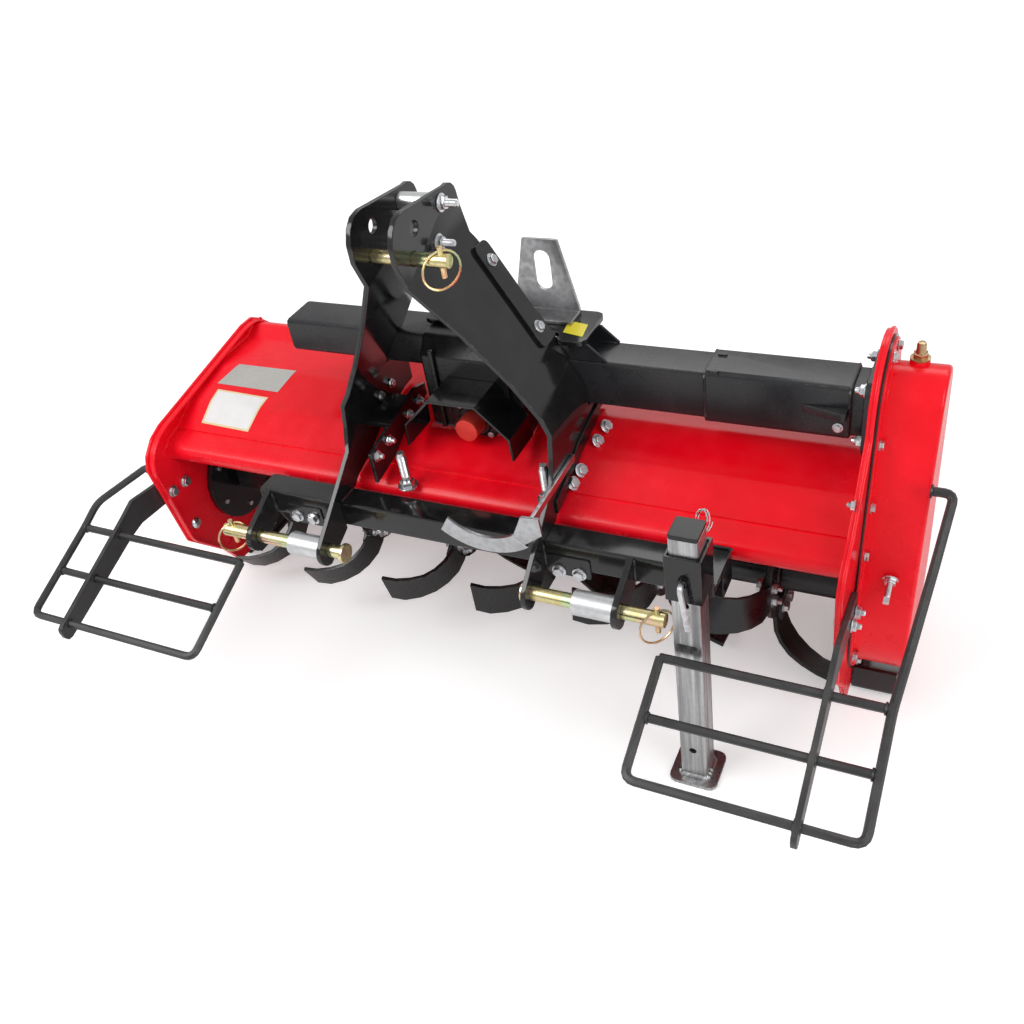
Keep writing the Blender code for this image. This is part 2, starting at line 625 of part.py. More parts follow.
def tine(name, side, angle):
    # One blade: a strip that runs out from the flange, sweeps back and turns sideways.
    flat_r = ROTOR_R - TINE_T / 2 - TINE_W / 2 * math.sin(math.radians(TINE_TILT)) - 0.001
    stations = [(0.0, 0.045, 0.0, 0.034, 0.0), (0.0, 0.080, 0.0, TINE_W - 0.006, 0.0),
                (0.004, 0.103, -0.004, TINE_W, 0.1), (0.014, 0.124, -0.009, TINE_W, 0.3),
                (0.029, 0.142, -0.014, TINE_W, 0.5), (0.050, 0.156, -0.020, TINE_W, 0.8),
                (0.074, flat_r - 0.002, -0.026, TINE_W, 1.0), (TINE_REACH, flat_r, -0.032, TINE_W, 1.0)]
    mesh = bpy.data.meshes.new(name)
    bm = bmesh.new()
    rows = []
    for x, r, sweep, width, share in stations:
        lean = math.radians(TINE_TILT * share)
        across = width / 2 * math.cos(lean)
        lift = width / 2 * math.sin(lean)
        rows.append([bm.verts.new((side * x, sweep + k * across, -r - k * lift)) for k in (-1, 1)])
    for a, b in zip(rows, rows[1:]):
        bm.faces.new((a[0], b[0], b[1], a[1]))
    bm.to_mesh(mesh)
    bm.free()
    obj = bpy.data.objects.new(name, mesh)
    step = obj.modifiers.new("sheet", "SOLIDIFY")
    step.thickness = TINE_T
    step.offset = 0
    step.use_even_offset = True
    obj.matrix_world = Matrix.Rotation(angle, 4, "X")
    return solid(obj)


for number in range(TINE_SETS):
    x = PLATE_SHIFT + TINE_SHIFT + (number - (TINE_SETS - 1) / 2) * TINE_PITCH
    name = "tine_set_%d" % (number + 1)
    ring = solid(flat(name, [circle(0, 0, FLANGE_R, 24), circle(0, 0, ROTOR_TUBE_R + GAP, 24)],
                      "X", -FLANGE_T / 2, FLANGE_T / 2))
    for k in range(TINES_EACH):
        angle = math.radians(360 / TINES_EACH * k + TINE_START + TINE_STEP * (TINE_SETS - 1 - number))
        blade = tine(name + "_blade_%d" % k, 1 if k % 2 else -1, angle)
        combine(ring, blade, "UNION")
        blade.parent = rotor
        blade.location = (x, 0, 0)
    place(ring, BLACK, rotor)
    ring.location = (x, 0, 0)


# Guards: bent rod frames on flat arms.
def plane_z(y):
    return up(GUARD_Z1 + (GUARD_Z0 - GUARD_Z1) * (y - GUARD_Y1) / (GUARD_Y0 - GUARD_Y1))


mid_y = (GUARD_Y0 + GUARD_Y1) / 2
arm_y1 = ROTOR_Y + CASE_BACK - CASE_LOW_R - CASE_LIP - 0.002
arm_tip = GUARD_Y0 - 0.022
arm = rounded([(arm_tip, plane_z(arm_tip) + 0.012), (arm_tip + 0.004, plane_z(arm_tip) - 0.020),
               (-0.022, plane_z(-0.022) - 0.029), (0.010, up(-0.042)), (arm_y1, up(-0.052)), (arm_y1, up(-0.010)),
               (0.010, up(0.008)), (-0.022, plane_z(-0.022) + 0.014)], 0.010, 2)
rod_holes = [circle(y, plane_z(y), ROD_R + GAP, 12) for y in (GUARD_Y0, mid_y, GUARD_Y1)]
tail_left = [(outer(-1) - GAP, 0.070, up(0.034)), (outer(-1) - 0.010, 0.070, up(0.034)),
             (-GUARD_OUT_LEFT, 0.002, up(-0.007))]
tail_right = [(case_end + GAP, 0.214, up(0.119)), (GUARD_OUT_RIGHT + 0.024, 0.214, up(0.119)),
              (GUARD_OUT_RIGHT + 0.016, 0.130, up(0.058)), (GUARD_OUT_RIGHT + 0.006, 0.028, up(-0.003))]
for side, name, out_x, in_x, tail in ((-1, "left", -GUARD_OUT_LEFT, -GUARD_IN_LEFT, tail_left),
                                      (1, "right", GUARD_OUT_RIGHT, GUARD_IN_RIGHT, tail_right)):
    arm_x = sorted((outer(side) + side * GAP, outer(side) + side * (GAP + ARM_T)))
    place(flat("guard_arm_" + name, [arm] + rod_holes, "X", *arm_x), GREY_BLACK)
    line = tail + [(out_x, GUARD_Y1, plane_z(GUARD_Y1)), (out_x, GUARD_Y0, plane_z(GUARD_Y0)),
                   (in_x, GUARD_Y0, plane_z(GUARD_Y0)), (in_x, GUARD_Y1, plane_z(GUARD_Y1)),
                   (out_x, GUARD_Y1, plane_z(GUARD_Y1))]
    frame = solid(rod("guard_" + name, bent(line[:-1], 0.016), ROD_R))
    top = solid(rod("guard_top_" + name, [(in_x - side * 0.0005, GUARD_Y1, plane_z(GUARD_Y1)),
                                          (out_x, GUARD_Y1, plane_z(GUARD_Y1))], ROD_R * 0.99))
    middle = solid(rod("guard_mid_" + name, [(in_x, mid_y, plane_z(mid_y)), (out_x, mid_y, plane_z(mid_y))],
                       ROD_R * 0.98))
    combine(place(frame, GREY_BLACK), top, "UNION")
    combine(frame, middle, "UNION")

# Parking leg. It slides in its sleeve, and its origin is on the slide's axis.
leg = bpy.data.objects.new("leg_axis", None)
parts.objects.link(leg)
leg.parent = machine
leg.location = (LEG_X, LEG_Y, 0)
leg_top = up(LEG_TOP)
leg_outline = rounded(box_outline(-LEG / 2, LEG / 2, -LEG / 2, LEG / 2), 0.004, 2)
leg_tube = solid(flat("leg_tube", [leg_outline], "Z", FOOT_T / 2, leg_top))
leg_foot = solid(flat("leg_foot", [rounded(box_outline(-FOOT / 2, FOOT / 2, -FOOT / 2, FOOT / 2), 0.012, 3)],
                      "Z", 0, FOOT_T))
combine(place(leg_tube, ZINC, leg), leg_foot, "UNION")
leg_foot.parent = leg
place(flat("leg_cap", [rounded(box_outline(-LEG / 2, LEG / 2, -LEG / 2, LEG / 2), 0.004, 2)], "Z",
           leg_top + GAP, leg_top + 0.006), PLASTIC, leg)

in_half = LEG / 2 + LEG_GAP
out_half = in_half + SLEEVE_WALL
collar_hole = box_outline(LEG_X - in_half, LEG_X + in_half, LEG_Y - in_half, LEG_Y + in_half)
collar = box_outline(LEG_X - out_half, LEG_X + out_half, LEG_Y - out_half, LEG_Y + out_half)
sleeve = solid(flat("leg_sleeve", [collar, collar_hole], "Z", up(SLEEVE_Z0), up(SLEEVE_Z1)))
back = solid(flat("sleeve_back", [box_outline(LEG_X - out_half, LEG_X + out_half, LEG_Y + in_half,
                                              LEG_Y + out_half + 0.002)], "Z", bar_z1 + GAP, up(SLEEVE_Z1)))
lug = solid(flat("sleeve_lug", [box_outline(LEG_X - out_half, LEG_X + out_half, LEG_Y + in_half + 0.001,
                                            bar_y1)], "Z", bar_z1 + GAP, bar_z1 + 0.009))
combine(place(sleeve, BLACK), back, "UNION")
combine(sleeve, lug, "UNION")

# The pin that locks the leg, drawn back in its sleeve. Its handle hangs down.
pin_y = LEG_Y - out_half
pin_z = up((SLEEVE_Z0 + SLEEVE_Z1) / 2)
lock_y = pin_y - 0.014
lock_line = [(LEG_X, pin_y - GAP, pin_z), (LEG_X, lock_y, pin_z), (LEG_X + 0.008, lock_y, pin_z - 0.070)]
place(rod("leg_pin", bent(lock_line, 0.010), 0.004), ZINC)

# Rear flap on its hinge rod. It hangs free behind the rotor.
flap_axis = bpy.data.objects.new("flap_axis", None)
parts.objects.link(flap_axis)
flap_axis.parent = machine
flap_axis.location = (0, HINGE_Y, up(HINGE_Z))
flap_line = [(0.0, 0.0), (0.010, -0.030), (0.014, -0.080), (0.008, -0.150), (-0.004, -0.215), (-0.012, -0.262),
             (-0.006, -0.280)]
flap = solid(flat("rear_flap", [thick(flap_line, FLAP_T)], "X", LEFT_IN + FLAP_SIDE_GAP,
                  RIGHT_IN - FLAP_SIDE_GAP))
hinge_line = [(0, outer(1)), (HINGE_R, outer(1)), (HINGE_R, outer(-1)), (0, outer(-1))]
hinge = solid(turned("flap_rod", hinge_line, "X", (0, 0, 0)))
combine(place(flap, RED, flap_axis), hinge, "UNION")
hinge.parent = flap_axis

# The whole machine is moved so that the origin is on the ground below the middle of its box.
bpy.context.view_layer.update()
graph = bpy.context.evaluated_depsgraph_get()
low = Vector((1e9, 1e9, 1e9))
high = -low
for obj in parts.objects:
    if obj.type == "EMPTY":
        continue
    seen = obj.evaluated_get(graph)
    mesh = seen.to_mesh()
    for vert in mesh.vertices:
        p = seen.matrix_world @ vert.co
        low = Vector(map(min, low, p))
        high = Vector(map(max, high, p))
    seen.to_mesh_clear()
machine.location = (-(low.x + high.x) / 2, -(low.y + high.y) / 2, -low.z)
bpy.context.view_layer.update()
shift = tuple(round(v, 6) for v in machine.location)
print("machine shift", shift, "size", tuple(round(v, 4) for v in high - low))
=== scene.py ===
import json
import math

import bmesh
import bpy
from mathutils import Matrix, Vector


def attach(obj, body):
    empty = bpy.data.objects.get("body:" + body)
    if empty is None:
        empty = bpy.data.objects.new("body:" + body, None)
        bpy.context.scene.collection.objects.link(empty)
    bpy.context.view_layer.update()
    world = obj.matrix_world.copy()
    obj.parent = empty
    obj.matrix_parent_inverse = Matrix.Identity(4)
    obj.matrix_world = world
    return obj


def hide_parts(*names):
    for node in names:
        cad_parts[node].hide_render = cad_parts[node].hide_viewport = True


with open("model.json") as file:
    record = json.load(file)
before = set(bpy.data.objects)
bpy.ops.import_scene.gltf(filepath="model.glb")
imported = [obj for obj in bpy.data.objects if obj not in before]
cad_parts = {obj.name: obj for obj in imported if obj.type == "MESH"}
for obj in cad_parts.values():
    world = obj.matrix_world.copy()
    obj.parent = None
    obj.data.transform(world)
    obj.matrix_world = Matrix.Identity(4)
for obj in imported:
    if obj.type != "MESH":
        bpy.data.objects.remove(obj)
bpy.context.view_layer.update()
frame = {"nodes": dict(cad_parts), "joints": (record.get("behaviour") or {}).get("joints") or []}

# Metres. The machine's own zero is in the middle of its width, on the axis of the two lower hitch pins.
PINS_UP = 0.291
ROTOR = (0.257, -0.103)           # rotor axis, as (y, z) from the pins
rotor_axis = next(j for j in frame["joints"] if j["name"] == "rotor_spin")["pos_m"]
ZERO = Vector((rotor_axis[0], rotor_axis[1] - ROTOR[0], PINS_UP))
TO_ROW = Matrix.Translation(ZERO)
AS_IS = Matrix.Identity(4)
LEFT, RIGHT, FRONT, REAR = (-1, 0, 0), (1, 0, 0), (0, -1, 0), (0, 1, 0)

FACE = {-1: -0.585, 1: 0.594}     # inner faces of the left and right side plates
BACK = {-1: -0.591, 1: 0.600}     # their outer faces
CASE_LIP = 0.6066                 # outer face of the chain case's flange
TUBE = (0.296, 0.191)             # middle of the torque tube, as (y, z)
HINGE = (0.486, 0.060)            # rod of the rear flap
CASE_HIGH = (0.312, 0.192)        # middle of the chain case's upper round
CASE_LOW = (0.267, -0.115)        # middle of its lower round
DECK_LINE = [(0.1235, 0.020), (0.1155, 0.026), (0.1115, 0.046), (0.126, 0.058), (0.160, 0.066),
             (0.185, 0.0785)]
TOP_LINE = [(0.1545, 0.0675), (0.160, 0.0690), (0.210, 0.0935), (0.300, 0.1125), (0.398, 0.1145),
            (0.424, 0.131), (0.445, 0.124), (0.460, 0.099), (0.4665, 0.083), (0.4675, 0.072)]


# Shader steps and groups

def put(tree, kind, inputs=None, **settings):
    node = tree.nodes.new("ShaderNode" + kind)
    for key, value in settings.items():
        setattr(node, key, value)
    for key, value in (inputs or {}).items():
        if isinstance(value, bpy.types.NodeSocket):
            tree.links.new(value, node.inputs[key])
        else:
            node.inputs[key].default_value = value
    return node


def reckon(tree, operation, a, b, clamp=False):
    return put(tree, "Math", {0: a, 1: b}, operation=operation, use_clamp=clamp).outputs[0]


def plus(tree, a, b, clamp=False):
    return reckon(tree, "ADD", a, b, clamp)


def less(tree, a, b, clamp=False):
    return reckon(tree, "SUBTRACT", a, b, clamp)


def times(tree, value, *others, clamp=False):
    for other in others:
        value = reckon(tree, "MULTIPLY", value, other, clamp)
    return value


def between(tree, value, low, high, to_low=0.0, to_high=1.0):
    return put(tree, "MapRange", {"Value": value, "From Min": low, "From Max": high, "To Min": to_low,
                                  "To Max": to_high}, interpolation_type="SMOOTHSTEP").outputs[0]


def own_place(tree):
    return put(tree, "TexCoord").outputs["Object"]


def stretched(tree, place, scale, turn=(0, 0, 0)):
    return put(tree, "Mapping", {"Vector": place, "Rotation": turn, "Scale": scale}).outputs[0]


def cloud(tree, place, scale, detail=4.0, roughness=0.55):
    return put(tree, "TexNoise", {"Vector": place, "Scale": scale, "Detail": detail,
                                  "Roughness": roughness}).outputs["Fac"]


def group(name, inputs, outputs):
    tree = bpy.data.node_groups.new(name, "ShaderNodeTree")
    for label, value in inputs:
        tree.interface.new_socket(label, in_out="INPUT", socket_type="NodeSocketFloat").default_value = value
    for label in outputs:
        tree.interface.new_socket(label, in_out="OUTPUT", socket_type="NodeSocketFloat")
    entry = tree.nodes.new("NodeGroupInput")
    return tree, entry.outputs, tree.nodes.new("NodeGroupOutput").inputs


def rubbed_edges():
    # Where an edge has lost its paint or plating: the true surface against a rounded one, broken up by noise.
    tree, given, out = group("rubbed_edges", [("Reach", 0.0025), ("Amount", 0.5)], ["Mask"])
    place = own_place(tree)
    rounded = put(tree, "Bevel", {"Radius": given["Reach"]}, samples=4).outputs[0]
    true = put(tree, "NewGeometry").outputs["Normal"]
    same = put(tree, "VectorMath", {0: rounded, 1: true}, operation="DOT_PRODUCT").outputs["Value"]
    edge = between(tree, less(tree, 1.0, same), 0.02, 0.22)
    broken = between(tree, cloud(tree, place, 85.0, 6.0, 0.7), 0.47, 0.60)
    patch = between(tree, cloud(tree, place, 9.0, 3.0), 0.42, 0.66)
    tree.links.new(times(tree, edge, broken, patch, given["Amount"], clamp=True), out["Mask"])
    return tree


def settled_dust():
    # Thin pale dust on what faces up.
    tree, given, out = group("settled_dust", [("Amount", 0.2), ("Scale", 14.0)], ["Mask"])
    place = own_place(tree)
    normal = put(tree, "NewGeometry").outputs["Normal"]
    facing = between(tree, put(tree, "SeparateXYZ", {0: normal}).outputs["Z"], 0.15, 0.95)
    film = between(tree, cloud(tree, place, given["Scale"], 6.0, 0.62), 0.38, 0.78)
    specks = between(tree, cloud(tree, place, 420.0, 2.0), 0.66, 0.74)
    both = plus(tree, film, times(tree, specks, 0.6), True)
    tree.links.new(times(tree, facing, both, given["Amount"], clamp=True), out["Mask"])
    return tree


def fine_scratches():
    # Hairline marks in two directions.
    tree, given, out = group("fine_scratches", [("Amount", 0.5), ("Density", 0.5)], ["Mask"])
    place = own_place(tree)
    marks = []
    for turn, scale in (((0.3, 0.2, 0.6), (9.0, 520.0, 60.0)), ((1.1, 0.5, -0.7), (700.0, 12.0, 40.0))):
        lines = cloud(tree, stretched(tree, place, scale, turn), 1.0, 2.0)
        marks.append(between(tree, lines, 0.69, 0.73))
    where = between(tree, cloud(tree, place, 11.0, 3.0), less(tree, 0.95, given["Density"]), 0.95)
    both = reckon(tree, "MAXIMUM", *marks)
    tree.links.new(times(tree, both, where, given["Amount"], clamp=True), out["Mask"])
    return tree


def sprayed_skin():
    # The slight orange peel of sprayed paint, and slow changes of its depth.
    tree, given, out = group("sprayed_skin", [("Grain", 260.0)], ["Height", "Tone"])
    place = own_place(tree)
    tree.links.new(cloud(tree, place, given["Grain"], 2.0, 0.4), out["Height"])
    slow = times(tree, cloud(tree, place, 3.2, 3.0), 0.75)
    quick = times(tree, cloud(tree, place, 38.0, 4.0), 0.25)
    tree.links.new(between(tree, plus(tree, slow, quick), 0.36, 0.64), out["Tone"])
    return tree


def plated_skin():
    # Plating on rolled or turned steel: cloudy or streaky tone, faint drawn lines and small stains.
    tree, given, out = group("plated_skin", [("Cloud", 16.0), ("Lines", 0.4), ("Streak", 0.0)],
                             ["Height", "Tone", "Stain"])
    place = own_place(tree)
    drawn = cloud(tree, stretched(tree, place, (900.0, 900.0, 22.0)), 1.0, 3.0)
    pits = times(tree, cloud(tree, place, 700.0, 3.0), 0.5)
    tree.links.new(plus(tree, times(tree, drawn, given["Lines"]), pits), out["Height"])
    cells = put(tree, "TexVoronoi", {"Vector": place, "Scale": 120.0}).outputs["Distance"]
    clouds = times(tree, cloud(tree, place, given["Cloud"], 5.0, 0.6), 0.8)
    tone = plus(tree, clouds, times(tree, cells, 0.25))
    streaks = cloud(tree, stretched(tree, place, (150.0, 150.0, 4.0)), 1.0, 4.0)
    tone = plus(tree, tone, times(tree, less(tree, streaks, tone), given["Streak"]))
    tree.links.new(between(tree, tone, 0.34, 0.72), out["Tone"])
    spots = between(tree, cloud(tree, place, 55.0, 6.0, 0.7), 0.58, 0.74)
    tree.links.new(times(tree, spots, less(tree, 1.0, given["Streak"])), out["Stain"])
    return tree


def cast_skin():
    # Sand-cast surface under paint.
    tree, given, out = group("cast_skin", [("Grain", 180.0)], ["Height"])
    place = own_place(tree)
    cells = put(tree, "TexVoronoi", {"Vector": place, "Scale": given["Grain"]}, feature="SMOOTH_F1")
    lumps = cloud(tree, place, 60.0, 5.0, 0.6)
    tree.links.new(plus(tree, times(tree, cells.outputs["Distance"], 0.8), lumps), out["Height"])
    return tree


RUBBED = rubbed_edges()
DUST = settled_dust()
SCRATCHES = fine_scratches()
SPRAYED = sprayed_skin()
PLATED = plated_skin()
CAST = cast_skin()


def use(tree, what, inputs=None):
    node = tree.nodes.new("ShaderNodeGroup")
    node.node_tree = what
    for key, value in (inputs or {}).items():
        node.inputs[key].default_value = value
    return node.outputs


def blend(tree, factor, a, b):
    node = tree.nodes.new("ShaderNodeMix")
    node.data_type = "RGBA"
    tree.links.new(factor, node.inputs[0])
    for index, value in ((6, a), (7, b)):
        if isinstance(value, bpy.types.NodeSocket):
            tree.links.new(value, node.inputs[index])
        else:
            node.inputs[index].default_value = (*value, 1.0)
    return node.outputs[2]


def scaled(colour, gain, lift=0.0):
    return tuple(min(1.0, c * gain + lift) for c in colour)


def blank_finish(name):
    material = bpy.data.materials.new(name)
    material.use_nodes = True
    tree = material.node_tree
    return material, tree, tree.nodes["Principled BSDF"]


def wire(tree, shader, colour, rough, height, strength, depth):
    # What every finish ends with: its colour, its roughness and its small relief.
    bump = put(tree, "Bump", {"Height": height, "Strength": strength, "Distance": depth})
    for name, value in (("Base Color", colour), ("Roughness", rough), ("Normal", bump.outputs[0])):
        tree.links.new(value, shader.inputs[name])


# Finishes

DUST_TINT = (0.46, 0.42, 0.37)
PALE_DUST_TINT = (0.50, 0.47, 0.42)


def paint(name, deep, light, gloss, under, rub=0.5, dust=0.12, scratch=0.3, peel=0.05, coat=0.0, cast=0.0,
          grain=260.0, reach=0.0025, shine=0.5):
    # Sprayed paint: two depths of one colour, worn through to what is under it, dusty and finely scratched.
    material, tree, shader = blank_finish(name)
    skin = use(tree, SPRAYED, {"Grain": grain})
    worn = use(tree, RUBBED, {"Reach": reach, "Amount": rub})["Mask"]
    dusty = use(tree, DUST, {"Amount": dust})["Mask"]
    marks = use(tree, SCRATCHES, {"Amount": scratch})["Mask"]
    colour = blend(tree, skin["Tone"], deep, light)
    colour = blend(tree, times(tree, marks, 0.35), colour, scaled(light, 1.5, 0.03))
    colour = blend(tree, worn, blend(tree, dusty, colour, DUST_TINT), under)
    rough = between(tree, skin["Tone"], 0.0, 1.0, *gloss)
    rough = plus(tree, rough, times(tree, plus(tree, dusty, marks), 0.35))
    rough = plus(tree, rough, times(tree, worn, 0.22), True)
    height = times(tree, skin["Height"], peel)
    if cast:
        height = plus(tree, height, times(tree, use(tree, CAST)["Height"], cast))
    wire(tree, shader, colour, rough, less(tree, height, times(tree, worn, 0.25)), 0.5, 0.0006)
    shader.inputs["Specular IOR Level"].default_value = shine
    shader.inputs["Coat Weight"].default_value = coat
    shader.inputs["Coat Roughness"].default_value = 0.06
    return material


def plate(name, pale, dark, stain, rough, lines=0.4, rub=0.25, dust=0.06, cloud_size=16.0, stains=0.35,
          extra=(), streak=0.0):
    # Plated or bare metal. Extra tints are (colour, noise scale, where it starts, where it is full).
    material, tree, shader = blank_finish(name)
    skin = use(tree, PLATED, {"Cloud": cloud_size, "Lines": lines, "Streak": streak})
    worn = use(tree, RUBBED, {"Amount": rub})["Mask"]
    dusty = use(tree, DUST, {"Amount": dust})["Mask"]
    marks = use(tree, SCRATCHES, {"Amount": 0.6, "Density": 0.55})["Mask"]
    place = own_place(tree)
    colour = blend(tree, skin["Tone"], dark, pale)
    for tint, scale, low, high in extra:
        colour = blend(tree, between(tree, cloud(tree, place, scale, 3.0), low, high), colour, tint)
    colour = blend(tree, times(tree, skin["Stain"], stains), colour, stain)
    colour = blend(tree, times(tree, marks, 0.5), colour, scaled(pale, 1.2))
    colour = blend(tree, worn, colour, scaled(dark, 0.55))
    colour = blend(tree, dusty, colour, PALE_DUST_TINT)
    shine = between(tree, skin["Tone"], 0.0, 1.0, rough[1], rough[0])
    shine = plus(tree, shine, times(tree, skin["Stain"], 0.18))
    shine = plus(tree, shine, times(tree, dusty, 0.5), True)
    wire(tree, shader, colour, shine, skin["Height"], 0.22, 0.0003)
    tree.links.new(less(tree, 1.0, dusty, True), shader.inputs["Metallic"])
    return material


def moulded(name, deep, light, rough, see=0.0):
    # Moulded plastic: fine spark texture, soft scuffs.
    material, tree, shader = blank_finish(name)
    place = own_place(tree)
    grain = cloud(tree, place, 1400.0, 2.0)
    marks = use(tree, SCRATCHES, {"Amount": 0.5, "Density": 0.6})["Mask"]
    dusty = use(tree, DUST, {"Amount": 0.05})["Mask"]
    colour = blend(tree, between(tree, cloud(tree, place, 26.0, 4.0), 0.35, 0.65), deep, light)
    colour = blend(tree, times(tree, marks, 0.3), colour, scaled(light, 1.4, 0.04))
    colour = blend(tree, dusty, colour, DUST_TINT)
    shine = between(tree, grain, 0.3, 0.7, rough - 0.07, rough + 0.07)
    wire(tree, shader, colour, shine, grain, 0.25, 0.0002)
    shader.inputs["Subsurface Weight"].default_value = see
    shader.inputs["Subsurface Radius"].default_value = (0.004, 0.001, 0.001)
    return material


def label(name, face, edge, rough, wear):
    # A blank printed label: its face colour, rubbed in patches.
    material, tree, shader = blank_finish(name)
    place = own_place(tree)
    fade = between(tree, cloud(tree, place, 30.0, 5.0), 0.40, 0.70)
    rubbed = between(tree, cloud(tree, place, 160.0, 6.0, 0.7), 0.62, 0.70)
    colour = blend(tree, fade, face, scaled(face, 0.93))
    colour = blend(tree, times(tree, rubbed, wear), colour, edge)
    shine = between(tree, fade, 0.0, 1.0, rough, rough + 0.12)
    wire(tree, shader, colour, shine, cloud(tree, place, 45.0, 3.0), 0.12, 0.0005)
    return material


STEEL = (0.33, 0.32, 0.31)
PRIMER = (0.20, 0.19, 0.18)
RED = paint("hood_red_gloss", (0.80, 0.002, 0.010), (0.93, 0.006, 0.020), (0.19, 0.29), (0.42, 0.16, 0.15),
            rub=0.30, dust=0.02, scratch=0.12, peel=0.03, grain=210.0, reach=0.0018, shine=0.30)
BLACK = paint("hitch_black_gloss", (0.006, 0.006, 0.007), (0.013, 0.013, 0.014), (0.10, 0.18), STEEL,
              dust=0.06, scratch=0.4, coat=0.15, grain=240.0)
SATIN = paint("tube_satin_black", (0.012, 0.013, 0.015), (0.026, 0.027, 0.030), (0.24, 0.34), STEEL,
              rub=0.45, dust=0.06, scratch=0.4, peel=0.08, grain=420.0)
GUARD = paint("guard_satin_black", (0.016, 0.016, 0.018), (0.034, 0.034, 0.036), (0.28, 0.40), STEEL,
              dust=0.08, scratch=0.5, peel=0.10, grain=500.0)
BLADE = paint("blade_black", (0.004, 0.004, 0.005), (0.012, 0.012, 0.012), (0.22, 0.40), (0.30, 0.29, 0.28),
              rub=0.75, dust=0.10, scratch=0.8, peel=0.10, grain=320.0)
CASTING = paint("gearbox_cast_black", (0.008, 0.008, 0.009), (0.018, 0.018, 0.019), (0.26, 0.42), PRIMER,
                rub=0.4, dust=0.18, cast=0.5)
ZINC = plate("bright_zinc", (0.84, 0.85, 0.87), (0.56, 0.57, 0.60), (0.36, 0.36, 0.37), (0.22, 0.38))
SHEET_ZINC = plate("sheet_zinc", (0.58, 0.59, 0.60), (0.44, 0.44, 0.46), (0.36, 0.36, 0.37), (0.26, 0.40),
                   lines=0.6)
LEG_ZINC = plate("leg_zinc", (0.66, 0.66, 0.66), (0.30, 0.30, 0.31), (0.24, 0.24, 0.25), (0.26, 0.42),
                 lines=0.9, cloud_size=9.0, stains=0.2, rub=0.1, dust=0.03, streak=0.85)
LIFT_ZINC = plate("lifting_plate_zinc", (0.52, 0.52, 0.53), (0.36, 0.36, 0.37), (0.22, 0.22, 0.23),
                  (0.26, 0.40), lines=0.2, cloud_size=4.0, stains=0.12)
SLEEVE_ZINC = plate("sleeve_white_zinc", (0.80, 0.81, 0.82), (0.66, 0.67, 0.68), (0.54, 0.54, 0.54),
                    (0.30, 0.46), lines=0.2)
GOLD = plate("pin_yellow_zinc", (0.86, 0.78, 0.46), (0.70, 0.60, 0.28), (0.55, 0.44, 0.22), (0.20, 0.34),
             extra=[((0.60, 0.76, 0.42), 22.0, 0.50, 0.66), ((0.86, 0.55, 0.42), 30.0, 0.56, 0.70)])
COPPER = plate("ring_copper_zinc", (0.90, 0.58, 0.34), (0.76, 0.42, 0.22), (0.52, 0.30, 0.18), (0.20, 0.34),
               extra=[((0.90, 0.72, 0.36), 40.0, 0.52, 0.66)])
BRASS = plate("breather_brass", (0.58, 0.43, 0.25), (0.36, 0.25, 0.14), (0.16, 0.10, 0.06), (0.24, 0.40),
              stains=0.7)
SHAFT = plate("shaft_steel", (0.56, 0.55, 0.54), (0.38, 0.37, 0.36), (0.26, 0.18, 0.12), (0.24, 0.40),
              lines=0.2)
CAP_RED = moulded("cap_red_plastic", (0.66, 0.030, 0.022), (0.82, 0.060, 0.040), 0.36, 0.15)
CAP_BLACK = moulded("cap_black_plastic", (0.004, 0.004, 0.005), (0.010, 0.010, 0.011), 0.34)
WHITE_LABEL = label("white_label", (0.80, 0.78, 0.78), (0.62, 0.58, 0.56), 0.28, 0.20)
LABEL_EDGE = label("label_edge", (0.78, 0.62, 0.36), (0.62, 0.52, 0.40), 0.30, 0.20)
YELLOW_LABEL = label("yellow_label", (0.86, 0.72, 0.03), (0.60, 0.52, 0.10), 0.30, 0.15)
PLATE_BLANK = plate("blank_aluminium", (0.86, 0.84, 0.80), (0.74, 0.72, 0.68), (0.60, 0.56, 0.52),
                    (0.26, 0.40), lines=0.7, cloud_size=24.0)

# The record's material slot for each finish. Labels have none.
SLOTS = {CAP_RED: "red_plastic", CAP_BLACK: "black_plastic", SHAFT: "steel", RED: "red_paint"}
for finishes, slot in (([BLACK, BLADE, CASTING], "black_paint"), ([SATIN, GUARD], "worn_black"),
                       ([ZINC, SHEET_ZINC, LEG_ZINC, LIFT_ZINC, SLEEVE_ZINC], "zinc_plate"),
                       ([GOLD, COPPER, BRASS], "yellow_zinc")):
    SLOTS.update({finish: slot for finish in finishes})


# Shapes

TURN = {"X": Matrix(((0, 0, 1), (1, 0, 0), (0, 1, 0))).to_4x4(),
        "Y": Matrix(((1, 0, 0), (0, 0, -1), (0, 1, 0))).to_4x4(), "Z": AS_IS}


def aim(at, along, spin=0.0):
    turn = Vector(along).to_track_quat("Z", "Y").to_matrix().to_4x4()
    return Matrix.Translation(at) @ turn @ Matrix.Rotation(math.radians(spin), 4, "Z")


def moved(bm, matrix):
    bmesh.ops.transform(bm, matrix=matrix, verts=bm.verts)
    return bm


def tidy(bm, weld=0.00002):
    bmesh.ops.remove_doubles(bm, verts=bm.verts, dist=weld)
    bmesh.ops.recalc_face_normals(bm, faces=bm.faces)
    return bm


def ease(bm, width, steps=2, over=50, pick=None):
    # Rounds the edges that turn by more than an angle.
    turned = [e for e in bm.edges if len(e.link_faces) == 2 and e.calc_face_angle(0) > math.radians(over)
              and (pick is None or pick(e))]
    if turned:
        bmesh.ops.bevel(bm, geom=turned, offset=width, segments=steps, profile=0.5, affect="EDGES",
                        material=-1, clamp_overlap=False)
    return bm


def only_verts(geom):
    return [g for g in geom if isinstance(g, bmesh.types.BMVert)]


